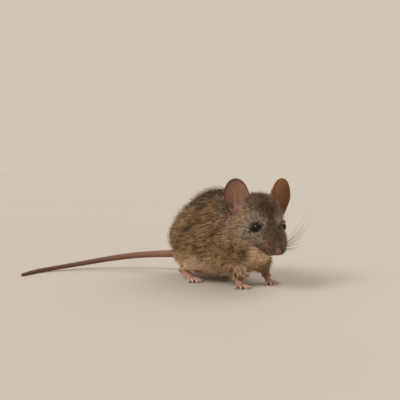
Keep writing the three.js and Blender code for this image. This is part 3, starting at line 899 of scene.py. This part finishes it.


# shares of the coat's markings: pale, dark (which also holds painted shade on the neck), warm, then grey,
# muzzle and the ring round each eye
def marksOf():
    up, height = skinNormals[:, 2], skinPoints[:, 2]
    place = skinPoints - bodyAt
    onHead = skinSoft["head"]
    torso = np.clip(1 - onHead, 0, 1)
    across, rise, ahead = np.abs(skinHead[:, 1]), skinHead[:, 2], skinHead[:, 0]
    belly = ramp(-0.45, 0.15, -up) * (1 - ramp(*markings["bellyTop"], height))
    belly = belly * ramp(*markings["bellyBack"], place[:, 0])
    groin = (1 - ramp(*markings["groinTop"], height)) * ramp(-0.5, 0, -up)
    groin = groin * (1 - ramp(*markings["groinHalf"], np.abs(place[:, 0] - 4)))
    pale = np.maximum(belly, groin) * torso * (1 - 0.7 * skinSoft["foreleg"])
    chin = (1 - ramp(*markings["chinTop"], rise)) * ramp(-3, 1, ahead) * (1 - ramp(8, 10.5, ahead)) * onHead
    chin = chin * (1 - ramp(*markings["chinHalf"], across))
    dark = ramp(0.35, 0.95, up) * torso * ramp(*markings["backLow"], height)
    # the neck a quarter darker: partly the coat's own darker tone, partly painted shade that tones down the
    # neck where it faces the key light
    dark = np.maximum(dark, 0.25 * skinSoft["neck"] * (1 - belly))
    crown = ramp(0.2, 3, rise + 0.28 * np.maximum(ahead, 0))
    crown = crown * (1 - ramp(*markings["crownHalf"], across)) * onHead
    warm = ramp(0, 1, 1 - ramp(*markings["rump"], place[:, 0])) * (1 - ramp(*markings["rumpTop"], height))
    warm = warm * torso
    warm = np.maximum(warm, 0.7 * torso * (1 - ramp(8, 17, height)) * ramp(-0.3, 0.5, 1 - np.abs(up)))
    warm = np.maximum(warm, 0.5 * ramp(6, 12, place[:, 0]) * (1 - ramp(6, 13, height)) * torso)
    grey = np.clip(onHead + skinSoft["neck"] * 0.7 + skinSoft["trunk"] * ramp(4, 14, place[:, 0]) * 0.5, 0, 1)
    grey = grey * ramp(*markings["cheekIn"], across) * ramp(-9, -3, rise)
    muzzle = ramp(5.5, 9, ahead - 0.9 * rise - 2)
    muzzle = muzzle * ramp(0.4, 2, across + 0.3 * np.maximum(-2 - rise, 0)) * onHead
    muzzle = np.maximum(muzzle * ramp(*markings["muzzleStart"], ahead), noseBand(skinPoints) * onHead)
    near, far = markings["ringOut"]
    ring = 1 - ramp(eyeRadius + near, eyeRadius + far, eyeGap(skinPoints))
    marks = np.stack([np.maximum(pale, chin), np.maximum(dark, crown), warm, grey, muzzle, ring * onHead], 1)
    marks = eased(np.clip(marks, 0, 1), skinEdges, 10)
    wide = eased(marks[:, :4], skinEdges, 40)
    share = np.clip(1 - onHead, 0, 1)[:, None] * 0.8
    marks[:, :4] += (wide - marks[:, :4]) * share
    return marks


skinMarks = marksOf()


# on the ears: share of the way to the rim, bearing and distance from the notch, inner face, side
def earPlaces():
    kept = np.zeros((len(skinPoints), 5))
    for side in eyeAt:
        ear = ears[side]
        local = (skinPoints - earRoot(ear)) @ earAxes(ear)
        near = np.flatnonzero((coatSoft["ear"] > 0.03) & (np.linalg.norm(local - [0, 0, 8], axis=1) < 14))
        _, tree = cupOf(ear)
        nearest = np.array([tree.find((0, y, z))[1] for y, z in local[near, 1:].tolist()])
        _, y, z = local[near].T
        kept[near, 0] = cupShares[nearest // len(cupTurns)]
        kept[near, 1] = np.arctan2(y, z + 2.5)
        kept[near, 2] = np.hypot(y, z + 2.5) / ears["height"]
        kept[near, 3] = ramp(-0.15, 0.25, skinNormals[near] @ earAxes(ear)[:, 0])
        kept[near, 4] = ear["side"]
    return kept


earPlace = earPlaces()


def keepOn(mesh, name, values):  # stores values on a mesh's points, for its material
    if values.ndim == 1:
        layer = mesh.attributes.new(name, "FLOAT", "POINT")
        layer.data.foreach_set("value", values.astype(np.float32))
    else:
        layer = mesh.attributes.new(name, "FLOAT_VECTOR", "POINT")
        layer.data.foreach_set("vector", values.astype(np.float32).ravel())


# the skin laid out flat, which also places the tufts

layout = {"angle_limit": math.radians(66), "island_margin": 0.003, "scale_to_bounds": True}
editAll(skin, bpy.ops.uv.smart_project, **layout)
skin.data.uv_layers.active.name = "OFBake"
report("skin laid out flat")


def skinTriangles():
    mesh = skin.data
    mesh.calc_loop_triangles()
    count = len(mesh.loop_triangles)
    corners, loops = np.empty(count * 3, np.int32), np.empty(count * 3, np.int32)
    mesh.loop_triangles.foreach_get("vertices", corners)
    mesh.loop_triangles.foreach_get("loops", loops)
    flat = np.empty(len(mesh.loops) * 2, np.float32)
    mesh.uv_layers["OFBake"].data.foreach_get("uv", flat)
    corners, loops = corners.reshape(-1, 3), loops.reshape(-1, 3)
    places = flat.reshape(-1, 2)[loops]
    a, b, c = (skinPoints[corners[:, i]] for i in range(3))
    area = np.linalg.norm(np.cross(b - a, c - a), axis=1) / 2
    return corners, places, area


corners, flatPlaces, triangleArea = skinTriangles()

stride = 2.0  # step of the paths that tufts lie along
pathSteps = 5


def paths():  # for each point of the skin, where a hair lying on it passes, step by step
    tree = treeOf(skinPoints)
    walking = np.flatnonzero(np.maximum(noseShare, lidDark) < 0.9)
    places = np.repeat(skinPoints[None], pathSteps, 0)
    rises = np.repeat(skinNormals[None], pathSteps, 0)
    here, way = skinPoints[walking], skinLie[walking]
    for step in range(1, pathSteps):
        ahead = here + way * stride
        nearest = np.array([tree.find(p)[1] for p in ahead.tolist()])
        rise = skinNormals[nearest]
        here = ahead - rise * ((ahead - skinPoints[nearest]) * rise).sum(1)[:, None]
        turn = unit(way + 0.6 * skinLie[nearest])
        way = laidOn(turn, rise)
        places[step, walking], rises[step, walking] = here, rise
    return places, rises


pathPlaces, pathRises = paths()
report("paths of the hairs walked")


# tufts

patch = 0.003  # each tuft's place on the flat layout


def roots(count, wanted, chance):
    share = wanted[corners].mean(1) * triangleArea
    picked = chance.choice(len(share), count, p=share / share.sum())
    r1, r2 = np.sqrt(chance.random(count)), chance.random(count)
    weights = np.stack([1 - r1, r1 * (1 - r2), r1 * r2], 1)
    return corners[picked], weights, (flatPlaces[picked] * weights[:, :, None]).sum(1)


def mixed(values, corner, weights):
    weights = weights.reshape(weights.shape + (1,) * (values.ndim - 1))
    return (values[corner] * weights).sum(1)


def growCoat(name, count, wanted, settings, seed):
    chance = np.random.default_rng(seed)
    corner, weights, flat = roots(count, wanted, chance)
    places = np.stack([mixed(p, corner, weights) for p in pathPlaces])
    rises = unit(np.stack([mixed(r, corner, weights) for r in pathRises]))
    depth = mixed(skinDepth, corner, weights)
    ways = unit(mixed(skinLie, corner, weights))
    own = chance.random((count, 4))
    length = (settings["least"] + settings["perDepth"] * depth) * (0.75 + 0.5 * own[:, 0])
    height = depth * settings["rise"] * (0.8 + 0.4 * own[:, 1]) + settings["above"]
    width = (settings["thin"] + settings["thick"] * np.clip(depth / 2.5, 0, 1)) * (0.8 + 0.4 * own[:, 2])
    side = np.cross(rises[0], ways)
    lean = (own[:, 3] - 0.5) * 2 * math.tan(math.radians(settings["stray"]))

    def along(share, lift):
        run = np.clip(length * share / stride, 0, pathSteps - 1.001)
        step = run.astype(int)
        part = (run - step)[:, None]
        row = np.arange(count)
        base = places[step, row] * (1 - part) + places[step + 1, row] * part
        rise = unit(rises[step, row] * (1 - part) + rises[step + 1, row] * part)
        return base + rise * (height * lift)[:, None] + side * (lean * length * share * share)[:, None]

    shares = settings["shares"]
    lifts = settings["lifts"]
    line = [along(share, lift) for share, lift in zip(shares, lifts)]
    line[0] = line[0] - rises[0] * coat["sunk"]
    tips = line[-1]
    short = depth < coat["short"]
    size = settings["clump"] * np.where(short, 0.55, 1)
    cells = np.floor((tips + chance.random(3)) / size[:, None]).astype(int)
    key, cell = np.unique(cells @ np.array([1, 4096, 4096 ** 2]) + short * 2 ** 40, return_inverse=True)
    crowd = np.bincount(cell)
    middle = np.stack([np.bincount(cell, column) for column in tips.T], 1) / crowd[:, None]
    pull = settings["gather"] * np.minimum(1, 0.4 + depth / 2.5)
    for i, share in enumerate(shares[1:], 1):
        line[i] = line[i] + (middle[cell] - tips) * (pull * share ** 2)[:, None]
    for place in line:
        place[:, 2] = np.maximum(place[:, 2], width + coat["offFloor"])
    tone = np.stack([chance.random(len(key))[cell], chance.random(count)], 1)
    rootless = 0.6 * (1 - ramp(0.3, 1.2, depth))
    buildTufts(name, line, side, width, settings["girth"], shares, tone, rootless, flat, corner, weights)


def buildTufts(name, line, side, width, girth, shares, tone, rootless, flat, corner, weights):
    count, rows = len(width), len(line) - 1
    rings = []
    turns = [math.pi / 2, math.pi * 7 / 6, math.pi * 11 / 6]
    for i in range(rows):
        along = unit(line[i + 1] - line[max(i - 1, 0)])
        across = laidOn(side, along)
        out = np.cross(along, across)
        for turn in turns:
            spoke = across * math.cos(turn) - out * math.sin(turn)
            rings.append(line[i] + spoke * (width * girth[i])[:, None])
    points = np.stack(rings + [line[-1]], 1)
    each = points.shape[1]
    faces = [[2, 1, 0]]
    for i in range(rows - 1):
        a = 3 * i
        for j in range(3):
            k = (j + 1) % 3
            faces.append([a + j, a + k, a + 3 + k, a + 3 + j])
    top = 3 * (rows - 1)
    faces += [[top + j, top + (j + 1) % 3, each - 1] for j in range(3)]
    sizes = np.array([len(f) for f in faces])
    pattern = np.concatenate(faces)
    loops = (pattern[None] + each * np.arange(count)[:, None]).ravel()
    mesh = bpy.data.meshes.new(name)
    mesh.vertices.add(count * each)
    mesh.vertices.foreach_set("co", (points.reshape(-1, 3) * mm).astype(np.float32).ravel())
    mesh.loops.add(len(loops))
    mesh.loops.foreach_set("vertex_index", loops.astype(np.int32))
    starts = np.concatenate([[0], np.cumsum(np.tile(sizes, count))[:-1]])
    mesh.polygons.add(len(starts))
    mesh.polygons.foreach_set("loop_start", starts.astype(np.int32))
    mesh.update(calc_edges=True)
    mesh.shade_smooth()
    run = np.concatenate([np.repeat(shares[:-1], 3), [1.0]])
    lay = rootless[:, None] + (1 - rootless[:, None]) * run
    keepOn(mesh, "lay", np.column_stack([lay.ravel(), np.repeat(tone, each, 0)]))
    marks = mixed(skinMarks, corner, weights)
    keepOn(mesh, "marks", np.repeat(marks[:, :3], each, 0))
    keepOn(mesh, "faceMarks", np.repeat(marks[:, 3:], each, 0))
    centre = (np.floor(flat / patch) + 0.5) * patch
    wide = np.concatenate([np.tile([-0.4, 0, 0.4], rows), [0.0]])
    high = run - 0.5
    spread = np.stack([wide, high], 1) * patch * 0.9
    spots = np.clip(centre[:, None] + spread[pattern][None], 0, 1)
    layer = mesh.uv_layers.new(name="OFBake")
    layer.data.foreach_set("uv", spots.astype(np.float32).ravel())
    piece = bpy.data.objects.new(name, mesh)
    bpy.context.collection.objects.link(piece)
    mesh.materials.append(coatFinish)
    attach(piece, "root")


# finishes

def paint(red, green, blue):  # a colour as seen, 0 to 255, turned into light
    values = np.array([red, green, blue]) / 255
    return (*np.where(values > 0.04045, ((values + 0.055) / 1.055) ** 2.4, values / 12.92).tolist(), 1)


class Wire:  # a socket that sums, products and powers can be written with
    def __init__(self, tree, socket):
        self.tree = tree
        self.socket = socket

    def maths(self, operation, *values):
        return addNode(self.tree, "ShaderNodeMath", {"operation": operation}, dict(enumerate(values)))

    def __add__(self, other):
        return self.maths("ADD", self, other)

    def __radd__(self, other):
        return self.maths("ADD", other, self)

    def __sub__(self, other):
        return self.maths("SUBTRACT", self, other)

    def __rsub__(self, other):
        return self.maths("SUBTRACT", other, self)

    def __mul__(self, other):
        return self.maths("MULTIPLY", self, other)

    def __rmul__(self, other):
        return self.maths("MULTIPLY", other, self)

    def __truediv__(self, other):
        return self.maths("DIVIDE", self, other)

    def __pow__(self, other):
        return self.maths("POWER", self, other)


def addNode(tree, kind, settings=None, inputs=None, output=0):
    node = tree.nodes.new(kind)
    for name, value in (settings or {}).items():
        if name == "stops":
            while len(node.color_ramp.elements) > len(value):
                node.color_ramp.elements.remove(node.color_ramp.elements[-1])
            while len(node.color_ramp.elements) < len(value):
                node.color_ramp.elements.new(1)
            for element, (place, colour) in zip(node.color_ramp.elements, value):
                element.position = place
                element.color = colour
        else:
            setattr(node, name, value)
    for key, value in (inputs or {}).items():
        if isinstance(value, Wire):
            tree.links.new(value.socket, node.inputs[key])
        else:
            node.inputs[key].default_value = value
    return Wire(tree, node.outputs[output])


def newFinish(name, **fixed):
    finish = bpy.data.materials.new(name)
    finish.use_nodes = True
    tree = finish.node_tree
    shader = tree.nodes["Principled BSDF"]
    for socket, value in fixed.items():
        shader.inputs[socket.replace("_", " ")].default_value = value
    return finish, tree, shader


def stored(tree, name):  # the three numbers of a stored attribute
    vector = addNode(tree, "ShaderNodeAttribute", {"attribute_name": name}, output=1)
    split = addNode(tree, "ShaderNodeSeparateXYZ", inputs={0: vector})
    return [Wire(tree, split.socket.node.outputs[i]) for i in range(3)]


def blended(tree, share, first, second, kind="MIX"):
    settings = {"data_type": "RGBA", "blend_type": kind}
    return addNode(tree, "ShaderNodeMix", settings, {0: share, 6: first, 7: second}, output=2)


def noiseOf(tree, scale, detail=3):
    place = addNode(tree, "ShaderNodeTexCoord", output=3)
    return addNode(tree, "ShaderNodeTexNoise", inputs={"Vector": place, "Scale": scale, "Detail": detail})


def eased01(tree, value, low, high):
    settings = {"interpolation_type": "SMOOTHSTEP"}
    return addNode(tree, "ShaderNodeMapRange", settings, {0: value, 1: low, 2: high, 3: 0.0, 4: 1.0})


coatPaint = {
    "root": (58, 49, 42),
    "band": (158, 130, 96),
    "tip": (66, 50, 36),
    "pale": (240, 214, 186),
    "dark": (92, 74, 54),
    "warm": (192, 146, 98),
    "grey": (168, 148, 128),
    "muzzle": (138, 108, 88),
    "ring": (160, 145, 132),
}


def coatTone(name):
    return paint(*coatPaint[name])


def coatColour(tree, band):  # the markings, and the painted shade on the neck, shared by skin and coat
    pale, dark, warm = stored(tree, "marks")
    grey, muzzle, ring = stored(tree, "faceMarks")
    colour = blended(tree, warm * 0.8, band, coatTone("warm"))
    colour = blended(tree, grey * 0.85, colour, coatTone("grey"))
    colour = blended(tree, dark * 0.88, colour, coatTone("dark"))
    colour = blended(tree, muzzle * 0.85, colour, coatTone("muzzle"))
    colour = blended(tree, ring * 0.65, colour, coatTone("ring"))
    return blended(tree, pale * 0.9, colour, coatTone("pale")), pale, ring


def spotted(name, scale, first, second, **fixed):  # a finish of two colours in fine spots
    finish, tree, shader = newFinish(name, **fixed)
    colour = blended(tree, noiseOf(tree, scale), paint(*first), paint(*second))
    tree.links.new(colour.socket, shader.inputs["Base Color"])
    return finish


def makeCoatFinish():
    finish, tree, shader = newFinish("coat", Roughness=0.62, Specular_IOR_Level=0.25)
    along, clump, own = stored(tree, "lay")
    band, pale, _ = coatColour(tree, coatTone("band"))
    patchy = noiseOf(tree, 750.0)
    light = eased01(tree, clump * 0.75 + own * 0.25 + patchy * 0.35, 0.3, 1.0)
    low = blended(tree, 1.0, band, (0.22, 0.19, 0.16, 1), "MULTIPLY")
    high = blended(tree, 1.0, band, (1.6, 1.55, 1.45, 1), "MULTIPLY")
    band = blended(tree, light * (1 - pale * 0.4) + pale * 0.4, low, high)
    rooted = eased01(tree, along, 0.1, 0.55)
    colour = blended(tree, 1 - (1 - rooted) * (1 - pale * 0.6), coatTone("root"), band)
    tipped = eased01(tree, along, 0.72, 0.97) * eased01(tree, own, 0.5, 0.7) * (1 - pale)
    colour = blended(tree, tipped * 0.85, colour, coatTone("tip"))
    tree.links.new(colour.socket, shader.inputs["Base Color"])
    return finish


coatFinish = makeCoatFinish()

skinPaint = {
    "under": (64, 50, 42),
    "ear": (156, 116, 100),
    "earBase": (206, 150, 136),
    "earRim": (84, 64, 52),
    # earLit and earLitFar are painted light: the orange of light shining through the far ear
    "earLit": (176, 122, 78),
    "earLitFar": (128, 80, 48),
    "earBack": (112, 88, 72),
    "vein": (120, 70, 62),
    "foot": (170, 126, 110),
    "toe": (206, 168, 156),
    "tail": (150, 108, 86),
    "tailTip": (112, 80, 74),
    "nose": (136, 96, 80),
    # lid is also painted into the nostrils and the cleft between them, as painted shade
    "lid": (34, 26, 22),
}


def skinTone(name):
    return paint(*skinPaint[name])


def makeSkinFinish():
    finish, tree, shader = newFinish("skin", Roughness=0.5, Specular_IOR_Level=0.3)
    ear, foot, tailShare = stored(tree, "bareMarks")
    nose, lid, toe = stored(tree, "bareMarks2")
    share, bearing, away = stored(tree, "earPlace")
    inner, glow, along = stored(tree, "barePlace")
    colour, _, ring = coatColour(tree, coatTone("band"))
    colour = blended(tree, 0.7 - ring * 0.5, colour, skinTone("under"))
    spray = addNode(tree, "ShaderNodeCombineXYZ", inputs={0: bearing * 9.0, 1: away * 3.0, 2: glow * 5.0})
    veins = addNode(tree, "ShaderNodeTexNoise", inputs={"Vector": spray, "Scale": 1.0, "Detail": 3})
    mottle = noiseOf(tree, 700.0)
    ears = blended(tree, eased01(tree, away, 0.2, 0.62), skinTone("earBase"), skinTone("ear"))
    ears = blended(tree, eased01(tree, veins, 0.52, 0.72) * 0.4, ears, skinTone("vein"))
    ears = blended(tree, (1 - inner) * 0.85, ears, skinTone("earBack"))
    ears = blended(tree, eased01(tree, share, 0.86, 1.0) * 0.75, ears, skinTone("earRim"))
    # painted light: the far ear, marked by glow, is painted orange as if lit through from behind
    lit = blended(tree, eased01(tree, bearing, -0.2, 0.4), skinTone("earLit"), skinTone("earLitFar"))
    ears = blended(tree, glow * eased01(tree, away, 0.25, 0.5) * 0.85, ears, lit)
    feet = blended(tree, toe, skinTone("foot"), skinTone("toe"))
    feet = blended(tree, eased01(tree, mottle, 0.5, 0.75) * 0.35, feet, skinTone("vein"))
    wave = addNode(tree, "ShaderNodeMath", {"operation": "SINE"}, {0: along * 14.0})
    rings = eased01(tree, wave, -0.2, 0.9)
    tails = blended(tree, eased01(tree, along, 10.0, 70.0), skinTone("tail"), skinTone("tailTip"))
    tails = blended(tree, (1 - rings) * 0.3, tails, (0.5, 0.42, 0.4, 1), "MULTIPLY")
    colour = blended(tree, ear, colour, ears)
    colour = blended(tree, foot, colour, feet)
    colour = blended(tree, tailShare, colour, tails)
    noses = blended(tree, eased01(tree, mottle, 0.35, 0.7) * 0.5, skinTone("nose"), skinTone("vein"))
    colour = blended(tree, nose, colour, noses)
    # the lids' own dark rims, and painted shade in the nostrils and their cleft
    colour = blended(tree, lid, colour, skinTone("lid"))
    tree.links.new(colour.socket, shader.inputs["Base Color"])
    height = noiseOf(tree, 2500.0) + rings * tailShare * 1.5 + veins * ear
    bump = addNode(tree, "ShaderNodeBump", inputs={"Strength": 0.35, "Distance": 0.0002, "Height": height})
    tree.links.new(bump.socket, shader.inputs["Normal"])
    return finish


def toeShare():  # 1 towards the tips of the toes
    near = np.zeros(len(skinPoints))
    for limb in limbs.values():
        gap = np.linalg.norm(skinPoints - onBody(limb["ball"]), axis=1)
        ahead = (skinPoints - onBody(limb["ball"])) @ unit(onBody(limb["ball"]) - onBody(limb["ankle"]))
        near = np.maximum(near, ramp(-0.5, 3, ahead) * (1 - ramp(7, 9, gap)))
    return near


skin.data.materials.clear()
skin.data.materials.append(makeSkinFinish())
tailRun = tailStep / tail["steps"] * 100
keepOn(skin.data, "marks", skinMarks[:, :3])
keepOn(skin.data, "faceMarks", skinMarks[:, 3:])
keepOn(skin.data, "bareMarks", np.stack([ramp(0.3, 0.7, skinSoft[k]) for k in ("ear", "foot", "tail")], 1))
# the lids' dark rims are their own colour; the nostrils and their cleft get painted shade
lidRimAndNostrilShade = np.maximum(lidDark, nostrils(skinPoints))
nosePaint = np.maximum(noseShare, noseBand(skinPoints) * skinSoft["head"])
keepOn(skin.data, "bareMarks2", np.stack([nosePaint, lidRimAndNostrilShade, toeShare()], 1))
keepOn(skin.data, "earPlace", earPlace[:, :3])
# the second number marks the far ear, which carries painted light shining through it
keepOn(skin.data, "barePlace", np.stack([earPlace[:, 3], np.maximum(earPlace[:, 4], 0), tailRun], 1))
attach(skin, "root")
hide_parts(*[node for nodes in groups.values() for node in nodes], "ear_left", "ear_right")
report("skin finished")

coat = {
    "under": {
        "count": 36000, "least": 0.7, "perDepth": 1.4,
        "rise": 0.55, "above": 0.05, "thin": 0.06, "thick": 0.1,
        "stray": 16, "clump": 1.6, "gather": 0.2,
        "shares": [0, 0.55, 1], "lifts": [0, 0.7, 1], "girth": [1, 0.9],
    },
    "over": {
        "count": 86000, "least": 0.9, "perDepth": 1.9,
        "rise": 0.95, "above": 0.05, "thin": 0.05, "thick": 0.1,
        "stray": 15, "clump": 1.9, "gather": 0.6,
        "shares": [0, 0.5, 1], "lifts": [0, 0.75, 1], "girth": [0.9, 1],
    },
    "guard": {
        "count": 10500, "least": 1.3, "perDepth": 2.5,
        "rise": 1.5, "above": 0.3, "thin": 0.03, "thick": 0.035,
        "stray": 24, "clump": 3, "gather": 0.0,
        "shares": [0, 0.4, 0.75, 1], "lifts": [0, 0.45, 0.8, 1], "girth": [1, 0.9, 0.6],
    },
    "crest": {
        "count": 900, "least": 1.8, "perDepth": 0.9,
        "rise": 1.2, "above": 1.3, "thin": 0.045, "thick": 0.03,
        "stray": 34, "clump": 2, "gather": 0.3,
        "shares": [0, 0.5, 1], "lifts": [0, 0.6, 1], "girth": [1, 0.8],
    },
    "down": {
        "count": 9000, "least": 0.85, "perDepth": 0.4,
        "rise": 0.5, "above": 0.13, "thin": 0.022, "thick": 0.02,
        "stray": 25, "clump": 1, "gather": 0.0,
        "shares": [0, 0.5, 1], "lifts": [0, 0.7, 1], "girth": [1, 0.7],
    },
    "each": 19000,  # tufts in one piece
    "short": 1.35,  # coat less deep than this gathers in smaller clumps
    "sunk": 0.12,  # how far the roots lie in the skin
    "offFloor": 0.03,
}


def crowding(kind):  # where the tufts of one kind grow, and how close
    low = 1 - ramp(5, 12, skinPoints[:, 2])
    fine = 1 + 1.7 * coatSoft["head"] + 0.8 * (coatSoft["hindleg"] + coatSoft["foreleg"]) * low
    clear = 1 - ramp(0.1, 0.5, skinBare)
    if kind == "crest":
        top = ramp(1.5, 4, skinHead[:, 2]) * (1 - ramp(4.5, 7, np.abs(skinHead[:, 1])))
        return clear * top * coatSoft["head"] * (1 - ramp(-9, 2, skinHead[:, 0]))
    if kind == "down":
        bare = ramp(0.4, 0.8, skinBare) * (1 - np.maximum(noseShare, lidDark)) * (skinSoft["head"] < 0.3)
        return bare * (skinSoft["ear"] + 0.8 * skinSoft["foot"] + 0.5 * skinSoft["tail"])
    return fine * clear


def growAll():
    for kind, seed in (("under", 100), ("over", 200), ("guard", 300), ("crest", 400), ("down", 500)):
        settings = coat[kind]
        pieces = math.ceil(settings["count"] / coat["each"])
        for i in range(pieces):
            growCoat(f"coat_{kind}_{i + 1}", settings["count"] // pieces, crowding(kind), settings, seed + i)


growAll()
report("coat grown")


# eyes, claws and whiskers

def makeEyes():
    finish = spotted("eye", 900.0, (9, 7, 7), (20, 14, 11), Roughness=0.12, Specular_IOR_Level=0.3)
    for side in eyeAt:
        bpy.ops.object.select_all(action="DESELECT")
        ball = {"segments": 48, "ring_count": 32, "radius": eyeRadius * mm, "location": eyeAt[side] * mm}
        bpy.ops.mesh.primitive_uv_sphere_add(**ball)
        eye = bpy.context.object
        bpy.ops.object.transform_apply(location=True, rotation=True, scale=True)
        eye.name = "eyeball_" + side
        points = pointsOf(eye.data) - eyeAt[side]
        front = ramp(0.55, 1, unit(points) @ eyeAxisOf(side))
        putPoints(eye.data, points * (1 + 0.05 * front)[:, None] + eyeAt[side])
        eye.data.shade_smooth()
        eye.data.materials.append(finish)
        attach(eye, "root")
        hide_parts("eye_" + side)


makeEyes()

whiskers = {
    "rows": 5,
    "columns": 5,
    "longest": 17,
    "shortest": 5,
    "root": 0.055,
    "tip": 0.012,
    "bow": 0.16,  # how far they curve back, as a share of their length
}


def makeWhiskers():
    finish, tree, shader = newFinish("whisker", Roughness=0.4)
    along = stored(tree, "lay")[0]
    colour = blended(tree, along, paint(44, 34, 28), paint(150, 132, 112))
    tree.links.new(colour.socket, shader.inputs["Base Color"])
    chance = np.random.default_rng(7)
    skinTree = faceTree(skin.data, skinPoints)
    for side, sign in (("left", 1), ("right", -1)):
        points, faces, run = [], [], []
        for row in range(whiskers["rows"]):
            for column in range(whiskers["columns"]):
                back = column / (whiskers["columns"] - 1)
                high = row / (whiskers["rows"] - 1)
                start = fromHead((10.2 - 3.4 * back - 0.3 * high, sign * 5, -4.2 + 2.4 * high))
                start = np.array(skinTree.find_nearest(start.tolist())[0]) - leftward * sign * 0.2
                length = whiskers["shortest"] + (whiskers["longest"] - whiskers["shortest"]) * back ** 0.8
                length *= 0.85 + 0.3 * chance.random()
                sweep = 0.15 - 0.75 * back + 0.12 * chance.standard_normal()
                rise = -0.3 + 0.75 * high + 0.12 * chance.standard_normal()
                out = unit(np.array([sweep, sign, rise]) @ headAxes)
                bow = unit(np.array([-0.8, 0, 0.3]) @ headAxes)
                bend = bow * length * whiskers["bow"]
                line = [start + out * length * t + bend * t * t for t in np.linspace(0, 1, 6)]
                radii = np.linspace(whiskers["root"], whiskers["tip"], 6)
                tubePoints, tubeFaces = tubeSkin(line, radii, 5, 10)
                faces += [tuple(i + len(run) for i in f) for f in tubeFaces]
                points.append(tubePoints)
                run += np.clip((tubePoints - start) @ out / length, 0, 1).tolist()
        piece = newPiece("whiskers_" + side, np.vstack(points), faces)
        keepOn(piece.data, "lay", np.stack([run, np.zeros(len(run)), np.zeros(len(run))], 1))
        piece.data.materials.append(finish)
        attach(piece, "root")


makeWhiskers()


def makeClaws():
    finish = spotted("claw", 1500.0, (200, 176, 160), (160, 120, 100), Roughness=0.35)
    for name, limb in limbs.items():
        toe = paws[limb["paw"]]["toe"]
        parts = []
        for _, _, tip, out in toesOf(limb):
            start = tip + [0, 0, 0.12] + out * toe * 0.35
            line = [start, start + out * 0.55 + [0, 0, 0.12], start + out * 1.15 - [0, 0, 0.32]]
            parts.append(newPiece("claw", *tubeSkin(line, [0.26, 0.2, 0.05], 10, 8)))
        piece = joined("claws_" + name.replace("leg", "foot"), parts)
        piece.data.materials.append(finish)
        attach(piece, "root")


makeClaws()
report("eyes, whiskers and claws made")


# floor and light

def makeStage():
    finish = spotted("floor", 6.0, (192, 187, 181), (188, 183, 176), Roughness=0.7)
    bpy.ops.object.select_all(action="DESELECT")
    bpy.ops.mesh.primitive_plane_add(size=12)
    floor = bpy.context.object
    floor.name = "floor"
    floor.data.materials.append(finish)


def addSun(name, toward, energy, spread, colour):  # toward: from the mouse to the light
    bpy.ops.object.light_add(type="SUN", location=(0, 0, 1))
    lamp = bpy.context.object
    lamp.name = name
    lamp.data.energy = energy
    lamp.data.angle = math.radians(spread)
    lamp.data.color = colour
    lamp.rotation_mode = "QUATERNION"
    lamp.rotation_quaternion = Vector(toward).to_track_quat("Z", "Y")


makeStage()
addSun("key", (-0.3, -1.0, 0.95), 1.7, 28, (1, 0.97, 0.92))
addSun("back", (0.1, 0.9, 1.0), 0.8, 40, (1, 0.95, 0.88))
world = bpy.data.worlds.new("studio")
bpy.context.scene.world = world
world.use_nodes = True
world.node_tree.nodes["Background"].inputs["Color"].default_value = paint(208, 198, 183)
world.node_tree.nodes["Background"].inputs["Strength"].default_value = 1.0
bpy.context.scene.view_settings.view_transform = "Standard"

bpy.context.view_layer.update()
report("finished")
